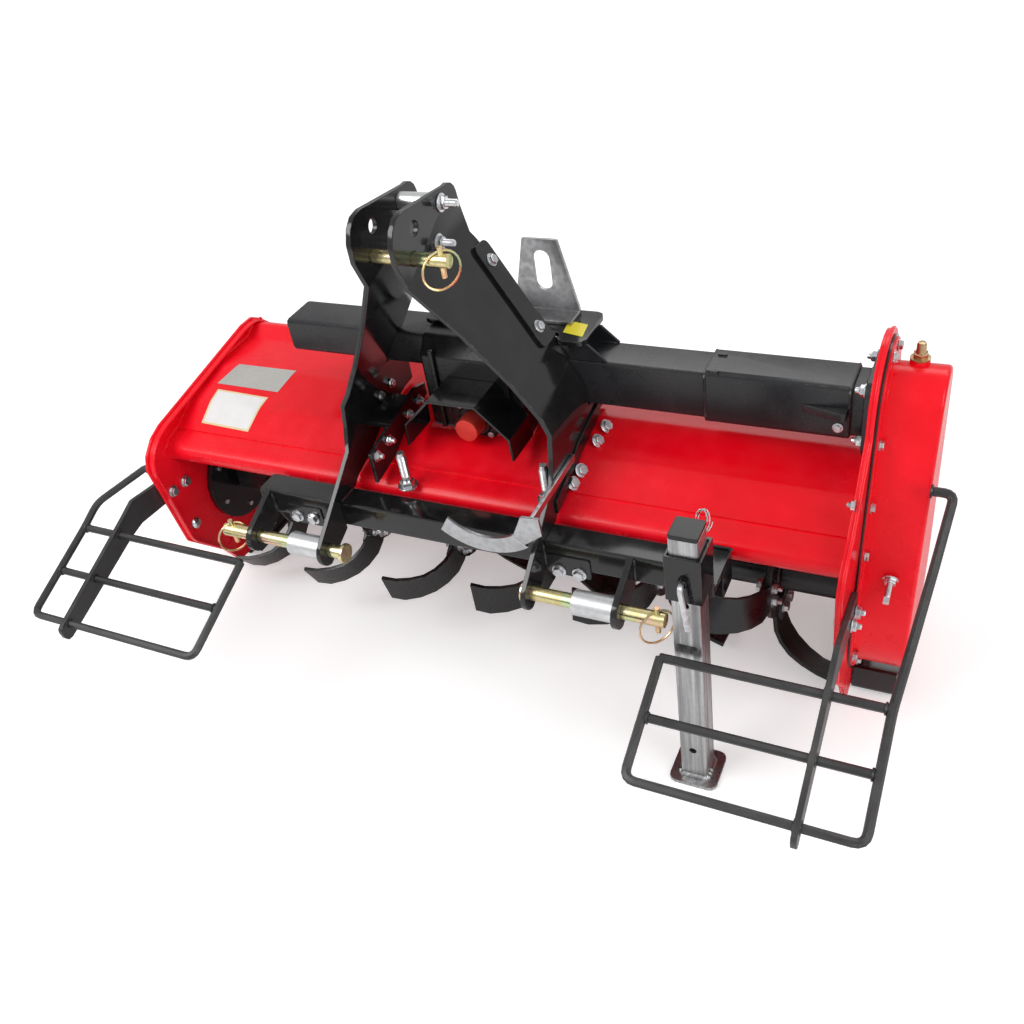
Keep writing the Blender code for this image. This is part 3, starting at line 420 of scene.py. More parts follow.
def oblong(a0, b0, a1, b1):
    return [(a0, b0), (a1, b0), (a1, b1), (a0, b1)]


def around(count, radius, start=0.0, middle=(0.0, 0.0)):
    # Places evenly round a circle, from a start in degrees.
    turns = [math.radians(start) + 2 * math.pi * k / count for k in range(count)]
    return [(middle[0] + radius * math.cos(a), middle[1] + radius * math.sin(a)) for a in turns]


def slab(outline, axis, low, high, corner=0.0, soft=0.0008):
    # A flat outline with rounded corners, drawn out along one axis, with its edges eased.
    bm = bmesh.new()
    bm.faces.new([bm.verts.new((a, b, 0)) for a, b in outline])
    if corner:
        bmesh.ops.bevel(bm, geom=bm.verts[:], offset=corner, segments=4, profile=0.5, affect="VERTICES",
                        material=-1, clamp_overlap=True)
    grown = bmesh.ops.extrude_face_region(bm, geom=bm.faces[:])["geom"]
    bmesh.ops.translate(bm, vec=(0, 0, high - low), verts=only_verts(grown))
    tidy(bm)
    if soft:
        ease(bm, soft)
    # The turn to Y sends the drawn direction to -Y.
    place = {"X": (low, 0, 0), "Y": (0, high, 0), "Z": (0, 0, low)}[axis]
    return moved(bm, Matrix.Translation(place) @ TURN[axis])


def lathe(profile, steps=28):
    # A profile of (radius, height) turned round the upright axis.
    bm = bmesh.new()
    verts = [bm.verts.new((r, 0, h)) for r, h in profile]
    edges = [bm.edges.new(pair) for pair in zip(verts, verts[1:])]
    bmesh.ops.spin(bm, geom=verts + edges, cent=(0, 0, 0), axis=(0, 0, 1), dvec=(0, 0, 0),
                   angle=2 * math.pi, steps=steps, use_merge=True, use_duplicate=False)
    return tidy(bm, 0.000004)


def turned(profile, at, along, steps=28):
    return moved(lathe(profile, steps), aim(at, along))


def round_bend(points, reach, steps=5):
    # The same open line with its corners drawn in along a short curve.
    out = [Vector(points[0])]
    for before, corner, after in zip(points, points[1:], points[2:]):
        a, p, b = Vector(before), Vector(corner), Vector(after)
        cut = min(reach, (a - p).length * 0.45, (b - p).length * 0.45)
        start, end = p + (a - p).normalized() * cut, p + (b - p).normalized() * cut
        out += [start.lerp(p, k / steps).lerp(p.lerp(end, k / steps), k / steps) for k in range(steps + 1)]
    return out + [Vector(points[-1])]


def bar(points, radius, sides=12, closed=False, spread=None):
    # A round bar that follows a line. A spread gives each station's own share of the radius.
    bm = bmesh.new()
    points = [Vector(p) for p in points]
    count = len(points)
    rings = []
    for i, p in enumerate(points):
        before = points[i - 1] if i or closed else p
        after = points[(i + 1) % count] if i < count - 1 or closed else p
        ring = bmesh.ops.create_circle(bm, segments=sides, radius=radius * (spread[i] if spread else 1.0),
                                       matrix=aim(p, after - before))["verts"]
        rings.append(list({e for v in ring for e in v.link_edges}))
    for a, b in zip(rings, rings[1:] + (rings[:1] if closed else [])):
        bmesh.ops.bridge_loops(bm, edges=a + b)
    if not closed:
        bmesh.ops.holes_fill(bm, edges=[e for e in bm.edges if e.is_boundary], sides=0)
    return tidy(bm, 0.00001)


def seam(points, radius=0.003, pitch=0.0035):
    # A weld bead: a bar of short ripples along a line.
    path = [Vector(points[0])]
    for a, b in zip(points, points[1:]):
        a, b = Vector(a), Vector(b)
        count = max(1, round((b - a).length / pitch))
        path += [a.lerp(b, (k + 1) / count) for k in range(count)]
    spread = [(0.84, 1.08)[i % 2] * (1 + 0.06 * math.sin(i * 2.7)) for i in range(len(path))]
    spread[0] = spread[-1] = 0.5
    return bar(path, radius, 8, spread=spread)


def join(*shapes):
    whole = bmesh.new()
    for bm in shapes:
        mesh = bpy.data.meshes.new("part")
        bm.to_mesh(mesh)
        bm.free()
        whole.from_mesh(mesh)
        bpy.data.meshes.remove(mesh)
    return whole


def piece(name, bm, finish, body="frame", place=TO_ROW, smooth=38, stands_for=None, slot=None):
    # The finished piece, with its place in its mesh. Its slot is looked up from its finish unless one is
    # given, but it is not set on the piece.
    moved(bm, place)
    mesh = bpy.data.meshes.new(name)
    bm.to_mesh(mesh)
    bm.free()
    mesh.shade_smooth()
    mesh.set_sharp_from_angle(angle=math.radians(smooth))
    finishes = finish if isinstance(finish, list) else [finish]
    for one in finishes:
        mesh.materials.append(one)
    obj = bpy.data.objects.new(name, mesh)
    bpy.context.scene.collection.objects.link(obj)
    obj.modifiers.new("even_shading", "WEIGHTED_NORMAL").keep_sharp = True
    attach(obj, body)
    slot = slot or SLOTS.get(finishes[0])
    if stands_for:
        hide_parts(*stands_for)
    return obj


# Bolts, each drawn one unit across the flats

def hex_head(washer=True):
    shapes = []
    base = 0.0
    if washer:
        shapes.append(lathe([(0, 0), (0.70, 0), (0.74, 0.02), (0.74, 0.10), (0.70, 0.13), (0, 0.13)]))
        base = 0.12
    bm = bmesh.new()
    bmesh.ops.create_cone(bm, segments=6, radius1=0.577, radius2=0.577, depth=0.36, cap_ends=True,
                          matrix=Matrix.Translation((0, 0, base + 0.18)))
    top = [f for f in bm.faces if f.normal.z > 0.9]
    bmesh.ops.inset_region(bm, faces=top, thickness=0.075, depth=0.045)
    ease(bm, 0.018, 1, 20)
    return join(*shapes, tidy(bm))


def stud_nut(length=0.5):
    # A nut on its washer, with the threaded end of the bolt standing out of it.
    foot = 0.46
    profile = [(0.0, foot), (0.30, foot)]
    turns = max(2, round(length / 0.11))
    for k in range(turns):
        h = foot + 0.02 + (length - 0.06) * k / turns
        profile += [(0.325, h), (0.285, h + (length - 0.06) / turns * 0.55)]
    return join(hex_head(), lathe(profile + [(0.25, foot + length), (0, foot + length)]))


def lock_nut(length=0.35):
    # A nut with a locking collar.
    collar = lathe([(0.46, 0.46), (0.46, 0.56), (0.42, 0.61), (0.34, 0.62), (0.34, 0.58)])
    end = lathe([(0, 0.52), (0.30, 0.52), (0.31, 0.60 + length * 0.5), (0.26, 0.62 + length),
                 (0, 0.62 + length)])
    return join(hex_head(), collar, end)


def cup_head():
    return lathe([(0.80, 0.0), (0.79, 0.06), (0.66, 0.24), (0.44, 0.36), (0.20, 0.41), (0, 0.42)])


FASTENERS = {"head": hex_head(), "plain": hex_head(False), "stud": stud_nut(), "long": stud_nut(1.1),
             "lock": lock_nut(), "cup": cup_head()}


def fasteners(name, rows, finish=ZINC, body="frame"):
    # Bolts as (kind, place, direction, size across the flats), each turned a little from the next.
    made = []
    for i, (kind, at, along, size) in enumerate(rows):
        made.append(moved(FASTENERS[kind].copy(), aim(at, along, 17 * i + 8) @ Matrix.Scale(size, 4)))
    return piece(name, join(*made), finish, body)


def across(kind, x, spots, along, size):
    # The same bolt at several (y, z) places of one upright face.
    return [(kind, (x, y, z), along, size) for y, z in spots]


# CAD pieces with softened edges

def taken(node):
    # A welded copy of a CAD piece, in the row frame.
    mesh = frame["nodes"][node].data.copy()
    for layer in [a.name for a in mesh.attributes if not (a.is_required or a.is_internal)]:
        mesh.attributes.remove(mesh.attributes[layer])
    bm = bmesh.new()
    bm.from_mesh(mesh)
    bpy.data.meshes.remove(mesh)
    bmesh.ops.remove_doubles(bm, verts=bm.verts, dist=0.00002)
    bmesh.ops.dissolve_limit(bm, angle_limit=math.radians(0.6), verts=bm.verts, edges=bm.edges,
                             use_dissolve_boundaries=False)
    bmesh.ops.recalc_face_normals(bm, faces=bm.faces)
    return bm


def softened(node, finish, width=0.0008, steps=2, over=50, more=None, extra=(), body="frame", smooth=38):
    # The CAD piece with eased edges. Extra shapes in the machine's frame are added to it.
    bm = taken(node)
    if more:
        more(bm)
    if width:
        ease(bm, width, steps, over)
    for f in bm.faces:
        f.material_index = 0
    if extra:
        bm = join(bm, moved(join(*extra), TO_ROW))
    return piece(node + "_finished", bm, finish, body, AS_IS, smooth, [node])


for finish, width, *names in (
        (BLACK, 0.0008, "toolbar"), (BLACK, 0.0014, "clevis_ear_left", "clevis_ear_right"),
        (BLACK, 0.0010, "carrier_plate"), (BLACK, 0.0008, "pto_shield"), (BLACK, 0.0015, "bearing_cover"),
        (BLACK, 0.0010, "leg_sleeve"), (SATIN, 0.0010, "torque_tube"), (SATIN, 0.0035, "arm_tube"),
        (GUARD, 0.0010, "guard_arm_left", "guard_arm_right"), (SHEET_ZINC, 0.0010, "shaft_holder"),
        (LIFT_ZINC, 0.0010, "lifting_plate"), (SLEEVE_ZINC, 0.0008, "mast_spacer"),
        (SLEEVE_ZINC, 0.0010, "pin_sleeve_left", "pin_sleeve_right"),
        (BLACK, 0.0010, "skid_left", "skid_right")):
    for name in names:
        softened(name, finish, width)
for side in ("left", "right"):
    softened("mast_plate_" + side, BLACK, 0.0012, over=60)
for side in ("left", "right"):
    softened("guard_" + side, GUARD, 0)
softened("leg_cap", CAP_BLACK, 0.0015, body="leg")
softened("leg_pin", ZINC, 0)
softened("pto_shaft", SHAFT, body="input")
softened("pto_cap", CAP_RED, 0.0016, 3, body="input")
softened("rotor_tube", BLADE, 0.0010, body="rotor")
for number in range(1, 7):
    softened("tine_set_%d" % number, BLADE, over=55, body="rotor", smooth=32)


def pin_piece(node, y, z, radius):
    # A hitch pin in yellow plating, and its ring clip, which is farther from the pin's axis, in copper.
    bm = taken(node)
    ease(bm, 0.0007, 2, 70)
    axis = ZERO + Vector((0, y, z))
    for f in bm.faces:
        off = f.calc_center_median() - axis
        f.material_index = 1 if math.hypot(off.y, off.z) > radius * 1.45 + 0.0006 else 0
    piece(node + "_finished", bm, [GOLD, COPPER], place=AS_IS, stands_for=[node])


pin_piece("lower_pin_left", 0, 0, 0.011)
pin_piece("lower_pin_right", 0, 0, 0.011)
pin_piece("top_link_pin", 0.098, 0.462, 0.0095)


# Gearbox: a cast body with a bolted cap in front and behind, and ribs beside the shield

def cast_cap(name, bolts, at, along, radius, deep, hub, count, inset, seat):
    # A round cast cap with a raised hub, and its bolts.
    turn = aim(at, along)
    body = lathe([(0, 0), (radius, 0), (radius, deep * 0.55), (radius - 0.002, deep * 0.7),
                  (hub + 0.003, deep * 0.75), (hub, deep), (hub * 0.6, deep * 1.05), (0, deep * 1.05)], 36)
    piece(name, moved(body, turn), CASTING)
    spots = around(count, radius - inset, 180 / count)
    fasteners(bolts, [("plain", turn @ Vector((a, b, seat)), along, 0.010) for a, b in spots])


softened("gearbox", CASTING, 0.0050, 4, 30)
cast_cap("input_bearing_cap", "input_cap_bolts", (0, 0.2319, 0.125), FRONT,
         radius=0.042, deep=0.012, hub=0.026, count=4, inset=0.008, seat=0.0075)
cast_cap("gearbox_rear_cap", "rear_cap_bolts", (0, 0.3449, 0.150), REAR,
         radius=0.040, deep=0.010, hub=0.022, count=6, inset=0.007, seat=0.0060)
ribs = [oblong(x - 0.004, 0.2262, x + 0.004, 0.2335) for x in (-0.062, 0.062)]
piece("gearbox_ribs", join(*[slab(rib, "Z", 0.100, 0.240, 0, 0.0015) for rib in ribs]), CASTING)


# Hood: a front sheet with a bent lip, and a top sheet that laps over it with a narrow gap

def bent_sheet(line, x0, x1, bend):
    bm = bmesh.new()
    verts = [bm.verts.new((x0, y, z)) for y, z in line]
    edges = [bm.edges.new(pair) for pair in zip(verts, verts[1:])]
    grown = bmesh.ops.extrude_edge_only(bm, edges=edges)["geom"]
    bmesh.ops.translate(bm, vec=(x1 - x0, 0, 0), verts=only_verts(grown))
    creases = [e for e in bm.edges if len(e.link_faces) == 2]
    bmesh.ops.bevel(bm, geom=creases, offset=bend, segments=5, profile=0.5, affect="EDGES", material=-1,
                    clamp_overlap=True)
    bmesh.ops.recalc_face_normals(bm, faces=bm.faces)
    return bm


def cut_window(bm, x, y0, y1):
    # An opening in the sheet, where the gearbox comes through.
    for co, normal in (((-x, 0, 0), RIGHT), ((x, 0, 0), RIGHT), ((0, y0, 0), REAR), ((0, y1, 0), REAR)):
        bmesh.ops.bisect_plane(bm, geom=bm.verts[:] + bm.edges[:] + bm.faces[:], dist=0.00001, plane_co=co,
                               plane_no=normal)
    middles = [(f, f.calc_center_median()) for f in bm.faces]
    inside = [f for f, m in middles if abs(m.x) < x and y0 < m.y < y1]
    bmesh.ops.delete(bm, geom=inside, context="FACES")
    return bm


def walled(bm, thickness):
    # The sheet with its thickness below it.
    down = [f for f in bm.faces if f.normal.z < 0]
    if len(down) > len(bm.faces) / 2:
        bmesh.ops.reverse_faces(bm, faces=bm.faces)
    bmesh.ops.solidify(bm, geom=bm.faces[:], thickness=thickness)
    bmesh.ops.recalc_face_normals(bm, faces=bm.faces)
    return bm


HOOD_SHEET = 0.003
ends = (FACE[-1] + 0.0006, FACE[1] - 0.0006)
front_sheet = walled(bent_sheet(DECK_LINE, *ends, 0.0085), HOOD_SHEET)
top_sheet = walled(cut_window(bent_sheet(TOP_LINE, *ends, 0.014), 0.091, 0.226, 0.351), HOOD_SHEET)
for sheet in (front_sheet, top_sheet):
    ease(sheet, 0.0007, 2, 60)
piece("hood_sheets", join(front_sheet, top_sheet), RED, stands_for=["hood_deck"])

# Side plates with a folded rim along the front and over the top
RIM_LEFT = [(0.176, -0.272), (0.1485, -0.220), (0.0835, -0.141), (0.0635, 0.034), (0.0735, 0.0585),
            (0.0965, 0.0795), (0.1235, 0.0900), (0.393, 0.1385), (0.424, 0.1385), (0.4465, 0.1255)]
CROWN = 0.0935
RIM_RIGHT = RIM_LEFT[:7]
for degrees in range(184, 19, -12):
    a = math.radians(degrees)
    RIM_RIGHT.append((CASE_HIGH[0] + CROWN * math.cos(a), CASE_HIGH[1] + CROWN * math.sin(a)))


def rim(line, side, depth, bend, sheet=0.004):
    x0, x1 = sorted((FACE[side] + side * 0.001, FACE[side] - side * depth))
    bm = bent_sheet(line, x0, x1, bend)
    bmesh.ops.solidify(bm, geom=bm.faces[:], thickness=sheet)
    return ease(tidy(bm), 0.0014, 3, 60)


softened("side_plate_left", RED, 0.0022, 3, 60, extra=[rim(RIM_LEFT, -1, 0.012, 0.012)])
softened("side_plate_right", RED, 0.0022, 3, 60, extra=[rim(RIM_RIGHT, 1, 0.0045, 0.006)])
corner_line = [(y, z + 0.0025) for y, z in DECK_LINE[2:5]] + [(y, z + 0.003) for y, z in TOP_LINE[2:]]
piece("hood_corner_seams", join(*[seam([(FACE[s] - s * 0.001, y, z) for y, z in corner_line], 0.0045, 0.006)
                                  for s in (-1, 1)]), RED)

# Chain case with a rounded rim, on a black strip in its joint that is painted shade for the shadowed groove
x_far = max(v.co.x for v in frame["nodes"]["chain_case"].data.vertices)


def round_case(bm):
    ease(bm, 0.0055, 3, 50, lambda e: all(v.co.x > x_far - 0.0003 for v in e.verts))


softened("chain_case", RED, 0.0016, 2, 60, round_case)


def case_line(top_r, low_r, steps=20):
    # The case's outline: two rounds and the straight lines that touch both.
    (y0, z0), (y1, z1) = CASE_HIGH, CASE_LOW
    lean = math.atan2(z0 - z1, y0 - y1)
    spread = math.acos((low_r - top_r) / math.hypot(y0 - y1, z0 - z1))
    high = [lean + spread - 2 * spread * k / steps for k in range(steps + 1)]
    low = [lean - spread + (2 * spread - 2 * math.pi) * k / steps for k in range(steps + 1)]
    return ([(y0 + top_r * math.cos(a), z0 + top_r * math.sin(a)) for a in high] +
            [(y1 + low_r * math.cos(a), z1 + low_r * math.sin(a)) for a in low])


# A black strip in the joint between the side plate and the case's flange: painted shade, standing in for the
# shadow in the groove between their rounded edges.
joint_shade_strip = slab(case_line(0.0862, 0.1282), "X", 0.6002, 0.6032, 0, 0.0004)
piece("case_joint_shade_strip", joint_shade_strip, BLACK, slot="black_plastic")


def mirrored(y, z):
    # The same place on the other side of the case's own middle line.
    top = Vector(CASE_HIGH)
    along = (Vector(CASE_LOW) - top).normalized()
    off = Vector((y, z)) - top
    back = top + 2 * along * off.dot(along) - off
    return back.x, back.y


LIP = [(0.2996, 0.2624), (0.2354, 0.1660), (0.2067, 0.0820), (0.1843, 0.0134), (0.1560, -0.0720),
       (0.1560, -0.1560), (0.2080, -0.2170)]
LIP_BOLT = 0.0115
fasteners("case_flange_bolts", across("head", CASE_LIP, LIP + [mirrored(*p) for p in LIP], RIGHT, LIP_BOLT))
spots = [LIP[0], mirrored(*LIP[0]), mirrored(*LIP[1])]
fasteners("plate_nuts", across("plain", FACE[1], spots, LEFT, LIP_BOLT) +
          across("stud", FACE[1], [(0.150, 0.1270)], LEFT, LIP_BOLT))
thread = [(r, 0.008 + k * 0.0015 + h) for k in range(14) for r, h in ((0.0043, 0), (0.0038, 0.0007))]
screw = [moved(hex_head(), Matrix.Scale(0.0155, 4)),
         lathe([(0, 0.004), (0.0042, 0.004)] + thread + [(0.0036, 0.0295), (0, 0.0295)], 20),
         slab(oblong(-0.0042, -0.0042, 0.0042, 0.0042), "Z", 0.0290, 0.0375, 0.0008, 0.0006)]
piece("chain_tensioner", moved(join(*screw), aim((0.6437, 0.1826, -0.0190), (0.0, -0.93, -0.37))), ZINC)
BREATHER = (0.6370, 0.3280)
boss = lathe([(0, 0), (0.0135, 0), (0.0130, 0.006), (0.0115, 0.009), (0, 0.009)])
piece("breather_boss", moved(boss, Matrix.Translation((*BREATHER, 0.2395))), RED)
stem = lathe([(0, 0), (0.0075, 0), (0.0075, 0.0075), (0.0064, 0.009), (0.0064, 0.019), (0.0050, 0.0222),
              (0, 0.0230)])
piece("breather_stem", moved(stem, Matrix.Translation((*BREATHER, 0.2500))), BRASS)
fasteners("breather_nut", [("head", (*BREATHER, 0.2480), (0, 0, 1), 0.018)], BRASS)

# Mast: stay strips, bolts and studs
IN_TOP, IN_LOW = (0.031, 0.430), (0.176, 0.185)     # ends of the sloping part's inner face, as (x, z)
MAST_OUT = (0.8606, 0.5093)
STAY_Y = 0.2440


def on_mast(side, z, proud=0.0):
    # A place on the outer face of the sloping part of a mast plate, as (x, z).
    share = (IN_TOP[1] - z) / (IN_TOP[1] - IN_LOW[1])
    x = IN_TOP[0] + (IN_LOW[0] - IN_TOP[0]) * share
    out = Vector(MAST_OUT) * (0.004 + proud)
    return side * (x + out.x), z + out.y


def stay(side, low=0.262, high=0.412, half=0.0180):
    slope = math.atan2(IN_LOW[0] - IN_TOP[0], IN_TOP[1] - IN_LOW[1])
    long = (high - low) / math.cos(slope) / 2
    bm = slab(oblong(-long, -half, long, half), "Z", 0, 0.005, 0.010)
    x, z = on_mast(1, (high + low) / 2, 0.0002)
    turn = Matrix(((math.sin(slope), 0, math.cos(slope)), (0, 1, 0), (-math.cos(slope), 0, math.sin(slope))))
    moved(bm, Matrix.Translation((x, STAY_Y, z)) @ turn.to_4x4())
    if side < 0:
        bmesh.ops.scale(bm, vec=(-1, 1, 1), verts=bm.verts)
        bmesh.ops.recalc_face_normals(bm, faces=bm.faces)
    return bm


piece("mast_stays", join(stay(-1), stay(1)), BLACK)
rows = []
for side in (-1, 1):
    for z in (0.387, 0.287):
        x, h = on_mast(side, z, 0.0052)
        rows.append(("head", (x, STAY_Y, h), (side * MAST_OUT[0], 0, MAST_OUT[1]), 0.013))
for y, z, size in ((0.186, 0.500, 0.017), (0.162, 0.455, 0.016)):
    rows += [("long", (0.0352, y, z), RIGHT, size), ("head", (-0.0352, y, z), LEFT, size)]
fasteners("mast_bolts", rows)
half_cross = [(0.0086, 0.0), (0.0088, 0.0236), (0.0110, 0.0242), (0.0110, 0.0261), (0.0105, 0.0266),
              (0, 0.0266)]
cross = [(r, -h) for r, h in half_cross[:0:-1]] + half_cross
piece("mast_cross_bolt", turned(cross, (0, 0.162, 0.455), RIGHT), SLEEVE_ZINC)

# Brackets at the foot of the mast
foot_right = slab([(0.108, 0.062), (0.160, 0.073), (0.212, 0.099), (0.296, 0.1165), (0.296, 0.140),
                   (0.205, 0.122), (0.150, 0.096), (0.108, 0.084)], "X", 0.1803, 0.1835)
piece("mast_foot_right", foot_right, BLACK)
foot_left = slab([(0.104, 0.064), (0.160, 0.0735), (0.212, 0.099), (0.290, 0.1155), (0.290, 0.136),
                  (0.256, 0.146), (0.150, 0.128), (0.104, 0.118)], "X", -0.1320, -0.1260)
tie = slab([(-0.1722, 0.128), (-0.1718, 0.136), (-0.128, 0.136), (-0.128, 0.128)], "Y", 0.165, 0.250)
piece("mast_foot_left", join(foot_left, tie), BLACK)
REAR_LEAN, FRONT_LEAN = (0.80, -0.12, 0.58), (0.76, -0.28, 0.58)
fasteners("mast_foot_bolts", [
    ("head", (0.2010, 0.2702, 0.1110), REAR_LEAN, 0.015),
    ("head", (0.1980, 0.2399, 0.1040), REAR_LEAN, 0.015),
    ("head", (0.1910, 0.1860, 0.0860), FRONT_LEAN, 0.015),
    ("head", (0.1860, 0.1640, 0.0770), FRONT_LEAN, 0.015),
    *across("stud", -0.1258, [(0.1566, 0.1113), (0.1182, 0.1077)], RIGHT, 0.013),
    *across("lock", -0.1258, [(0.2600, 0.1210), (0.2250, 0.1160)], RIGHT, 0.012),
    *across("head", -0.1718, [(0.2600, 0.1480), (0.2250, 0.1450)], RIGHT, 0.011)])
for name, x, y, base in (("deck_stud_left", -0.078, 0.115, 0.060), ("deck_stud_right", 0.155, 0.135, 0.063)):
    top = base + 0.064
    thread = [(r, base + 0.020 + k * 0.0022 + h)
              for k in range(18) for r, h in ((0.0078, 0), (0.0070, 0.0011))]
    stud = lathe([(0, base - 0.004), (0.0075, base - 0.004)] + thread + [(0.0058, top), (0, top)], 20)
    nut = moved(hex_head(), Matrix.Translation((0, 0, base)) @ Matrix.Scale(0.022, 4))
    piece(name, moved(join(stud, nut), Matrix.Translation((x, y, 0))), ZINC)

# Torque tube: gussets, gearbox flange and cover details
GUSSET = [(0.1560, 0.2292), (0.2145, 0.2292), (0.2145, 0.2310), (0.1870, 0.2560), (0.1560, 0.2560)]
piece("tube_gussets", join(*[slab(GUSSET, "Y", y, y + 0.0045, 0, 0.0007) for y in (0.2645, 0.3210)]), SATIN)
flange = slab(oblong(0.240, 0.140, 0.340, 0.2545), "X", 0.0856, 0.0955, 0.010, 0.0012)
piece("tube_gearbox_flange", flange, SATIN)
spots = [(y, z) for y in (0.250, 0.334) for z in (0.150, 0.244)]
fasteners("tube_gearbox_bolts", across("head", 0.0956, spots, RIGHT, 0.014))
spots = [(TUBE[0] + a * 0.044, TUBE[1] + b * 0.046) for a in (-1, 1) for b in (-1, 1)]
spots[0] = (0.2500, 0.1580)
fasteners("tube_flange_nuts", across("lock", 0.5818, spots, LEFT, 0.014))
wedge = slab([(0.4970, 0.2605), (0.5600, 0.2605), (0.5600, 0.2440), (0.5520, 0.2440)], "Z", 0.1880, 0.2010,
             0.002, 0.0015)
piece("cover_rib", wedge, SATIN)
fasteners("cover_screw", [("head", (0.5478, 0.2594, 0.1690), FRONT, 0.010),
                          ("head", (0.5478, 0.3326, 0.1690), REAR, 0.010)])
band = [(TUBE[0] + a, TUBE[1] + b) for a, b in ((-0.036, -0.030), (-0.036, 0.034), (-0.030, 0.0405),
                                                (0.030, 0.0405), (0.036, 0.034), (0.036, -0.030))]
bands = [bar([(x, y, z) for y, z in band], 0.0022, 8) for x in (0.3625, 0.5615)]
piece("cover_end_band", join(*bands), SATIN)

# Welds of the hitch and the torque tube
BAR_BACK, BAR_FRONT, BAR_LOW, BAR_HIGH = 0.101, 0.056, 0.005, 0.050
beads = []
for x in (-0.308, 0.308, -0.318, 0.318, -0.1800, 0.1800):
    y = BAR_FRONT - 0.0012
    beads.append(seam([(x, y, BAR_LOW + 0.003), (x, y, BAR_HIGH - 0.003)], 0.0032))
for x in (-0.1735, 0.1735):
    z = BAR_HIGH + 0.0012
    beads.append(seam([(x, BAR_FRONT + 0.004, z), (x, BAR_BACK - 0.004, z)]))
beads.append(seam([(x, BAR_BACK - 0.002, BAR_HIGH + 0.010) for x in (0.394, 0.446)]))
piece("hitch_welds", join(*beads), BLACK)
tube_end = [[(a * 0.0325, b * 0.034) for b in (-1, 1)] for a in (-1, 1)]
tube_end += [[(a * 0.028, b * 0.0385) for a in (-1, 1)] for b in (-1, 1)]
beads = [seam([(0.5805, TUBE[0] + y, TUBE[1] + z) for y, z in edge], 0.0032) for edge in tube_end]
beads += [seam([(x, y, 0.2300) for x in (0.178, 0.212)], 0.0022) for y in (0.2700, 0.3196)]
piece("tube_welds", join(*beads), SATIN)

# Toolbar clamps
pads = [oblong(x - 0.034, -0.006, x + 0.034, 0.030) for x in (-0.2505, 0.2160)]
piece("toolbar_pads", join(*[slab(pad, "Y", 0.0535, 0.0560, 0.004) for pad in pads]), BLACK)
places = [(x, 0.0535, 0.009, FRONT) for x in (-0.266, -0.235)]
places += [(x, 0.0535, 0.002, FRONT) for x in (0.200, 0.232)]
places += [(x, 0.1012, 0.030, REAR) for x in (-0.266, -0.235, 0.235, 0.266)]
fasteners("toolbar_bolts", [("head", (x, y, z), along, 0.015) for x, y, z, along in places])

# Side plate bolts, left and right
LEFT_PAIR = [(0.0926, -0.0315), (0.1263, -0.0337)]
RIGHT_PAIR = [(0.0926, -0.0315), (0.1220, -0.0337)]
SKID_BOLT_Z = -0.252
rows = across("head", -0.5848, LEFT_PAIR, RIGHT, 0.015)
rows += across("cup", -0.5848, [(0.1118, -0.1225)], RIGHT, 0.015)
rows += across("stud", -0.5999, LEFT_PAIR, LEFT, 0.015)
rows += across("head", FACE[1] - 0.0002, RIGHT_PAIR, LEFT, 0.015)
rows += across("stud", 0.6089, RIGHT_PAIR, RIGHT, 0.014)
for s, y in ((-1, 0.280), (-1, 0.425), (1, 0.425)):
    rows += across("head", BACK[s] + s * 0.0002, [(y, SKID_BOLT_Z)], (s, 0, 0), 0.015)
for s in (-1, 1):
    spots = [(y, SKID_BOLT_Z) for y in (0.280, 0.425)]
    rows += across("lock", FACE[s] - s * 0.0063, spots, (-s, 0, 0), 0.015)
fasteners("side_plate_bolts", rows)

# Rotor bearings: a cover inside each plate, and a housing on the left one
bearing = around(6, 0.072, 20, ROTOR)
fasteners("bearing_cover_bolts", across("plain", FACE[-1] + 0.0122, bearing, RIGHT, 0.009))
seat = [(0.0215, 0.0), (0.078, 0.0), (0.078, 0.005), (0.075, 0.0075), (0.050, 0.0085), (0.044, 0.013),
        (0.0215, 0.013)]
piece("right_bearing_cover", turned(seat, (FACE[1] - 0.0002, *ROTOR), LEFT, 36), BLACK)
nearer = [(ROTOR[0] + (y - ROTOR[0]) * 0.88, ROTOR[1] + (z - ROTOR[1]) * 0.88) for y, z in bearing]
fasteners("right_bearing_bolts", across("plain", FACE[1] - 0.0080, nearer, LEFT, 0.011))
hub = [(0.0215, 0.0), (0.058, 0.0), (0.058, -0.007), (0.066, -0.007), (0.066, -0.012), (0.046, -0.013),
       (0.040, -0.016), (0.0215, -0.016)]
piece("left_bearing_housing", turned(hub, (-0.5850, *ROTOR), RIGHT, 36), BLACK)
cap = [(0.0, 0.0), (0.034, 0.0), (0.034, 0.004), (0.030, 0.010), (0.018, 0.013), (0, 0.014)]
piece("left_bearing_cap", turned(cap, (-0.6006, *ROTOR), LEFT, 32), BLACK)
fasteners("left_bearing_bolts", across("plain", -0.5972, around(4, 0.054, 45, ROTOR), LEFT, 0.012))


# Leg and its sleeve, and the cover's slots

def cut_from(bm, tool):
    # The shape with another one taken out of it.
    objs = []
    for shape in (bm, tool):
        mesh = bpy.data.meshes.new("cut")
        shape.to_mesh(mesh)
        shape.free()
        objs.append(bpy.data.objects.new("cut", mesh))
        bpy.context.scene.collection.objects.link(objs[-1])
    step = objs[0].modifiers.new("cut", "BOOLEAN")
    step.operation = "DIFFERENCE"
    step.solver = "EXACT"
    step.object = objs[1]
    bpy.context.view_layer.update()
    made = bpy.data.meshes.new_from_object(objs[0].evaluated_get(bpy.context.evaluated_depsgraph_get()))
    out = bmesh.new()
    out.from_mesh(made)
    for obj in objs:
        bpy.data.objects.remove(obj)
    bpy.data.meshes.remove(made)
    return out


def cut_piece(node, tools, finish, body="frame"):
    # A softened CAD piece with holes that only the visual model has.
    bm = ease(taken(node), 0.0010)
    bm = tidy(cut_from(bm, moved(join(*tools), TO_ROW)))
    piece(node + "_finished", bm, finish, body, AS_IS, stands_for=[node])


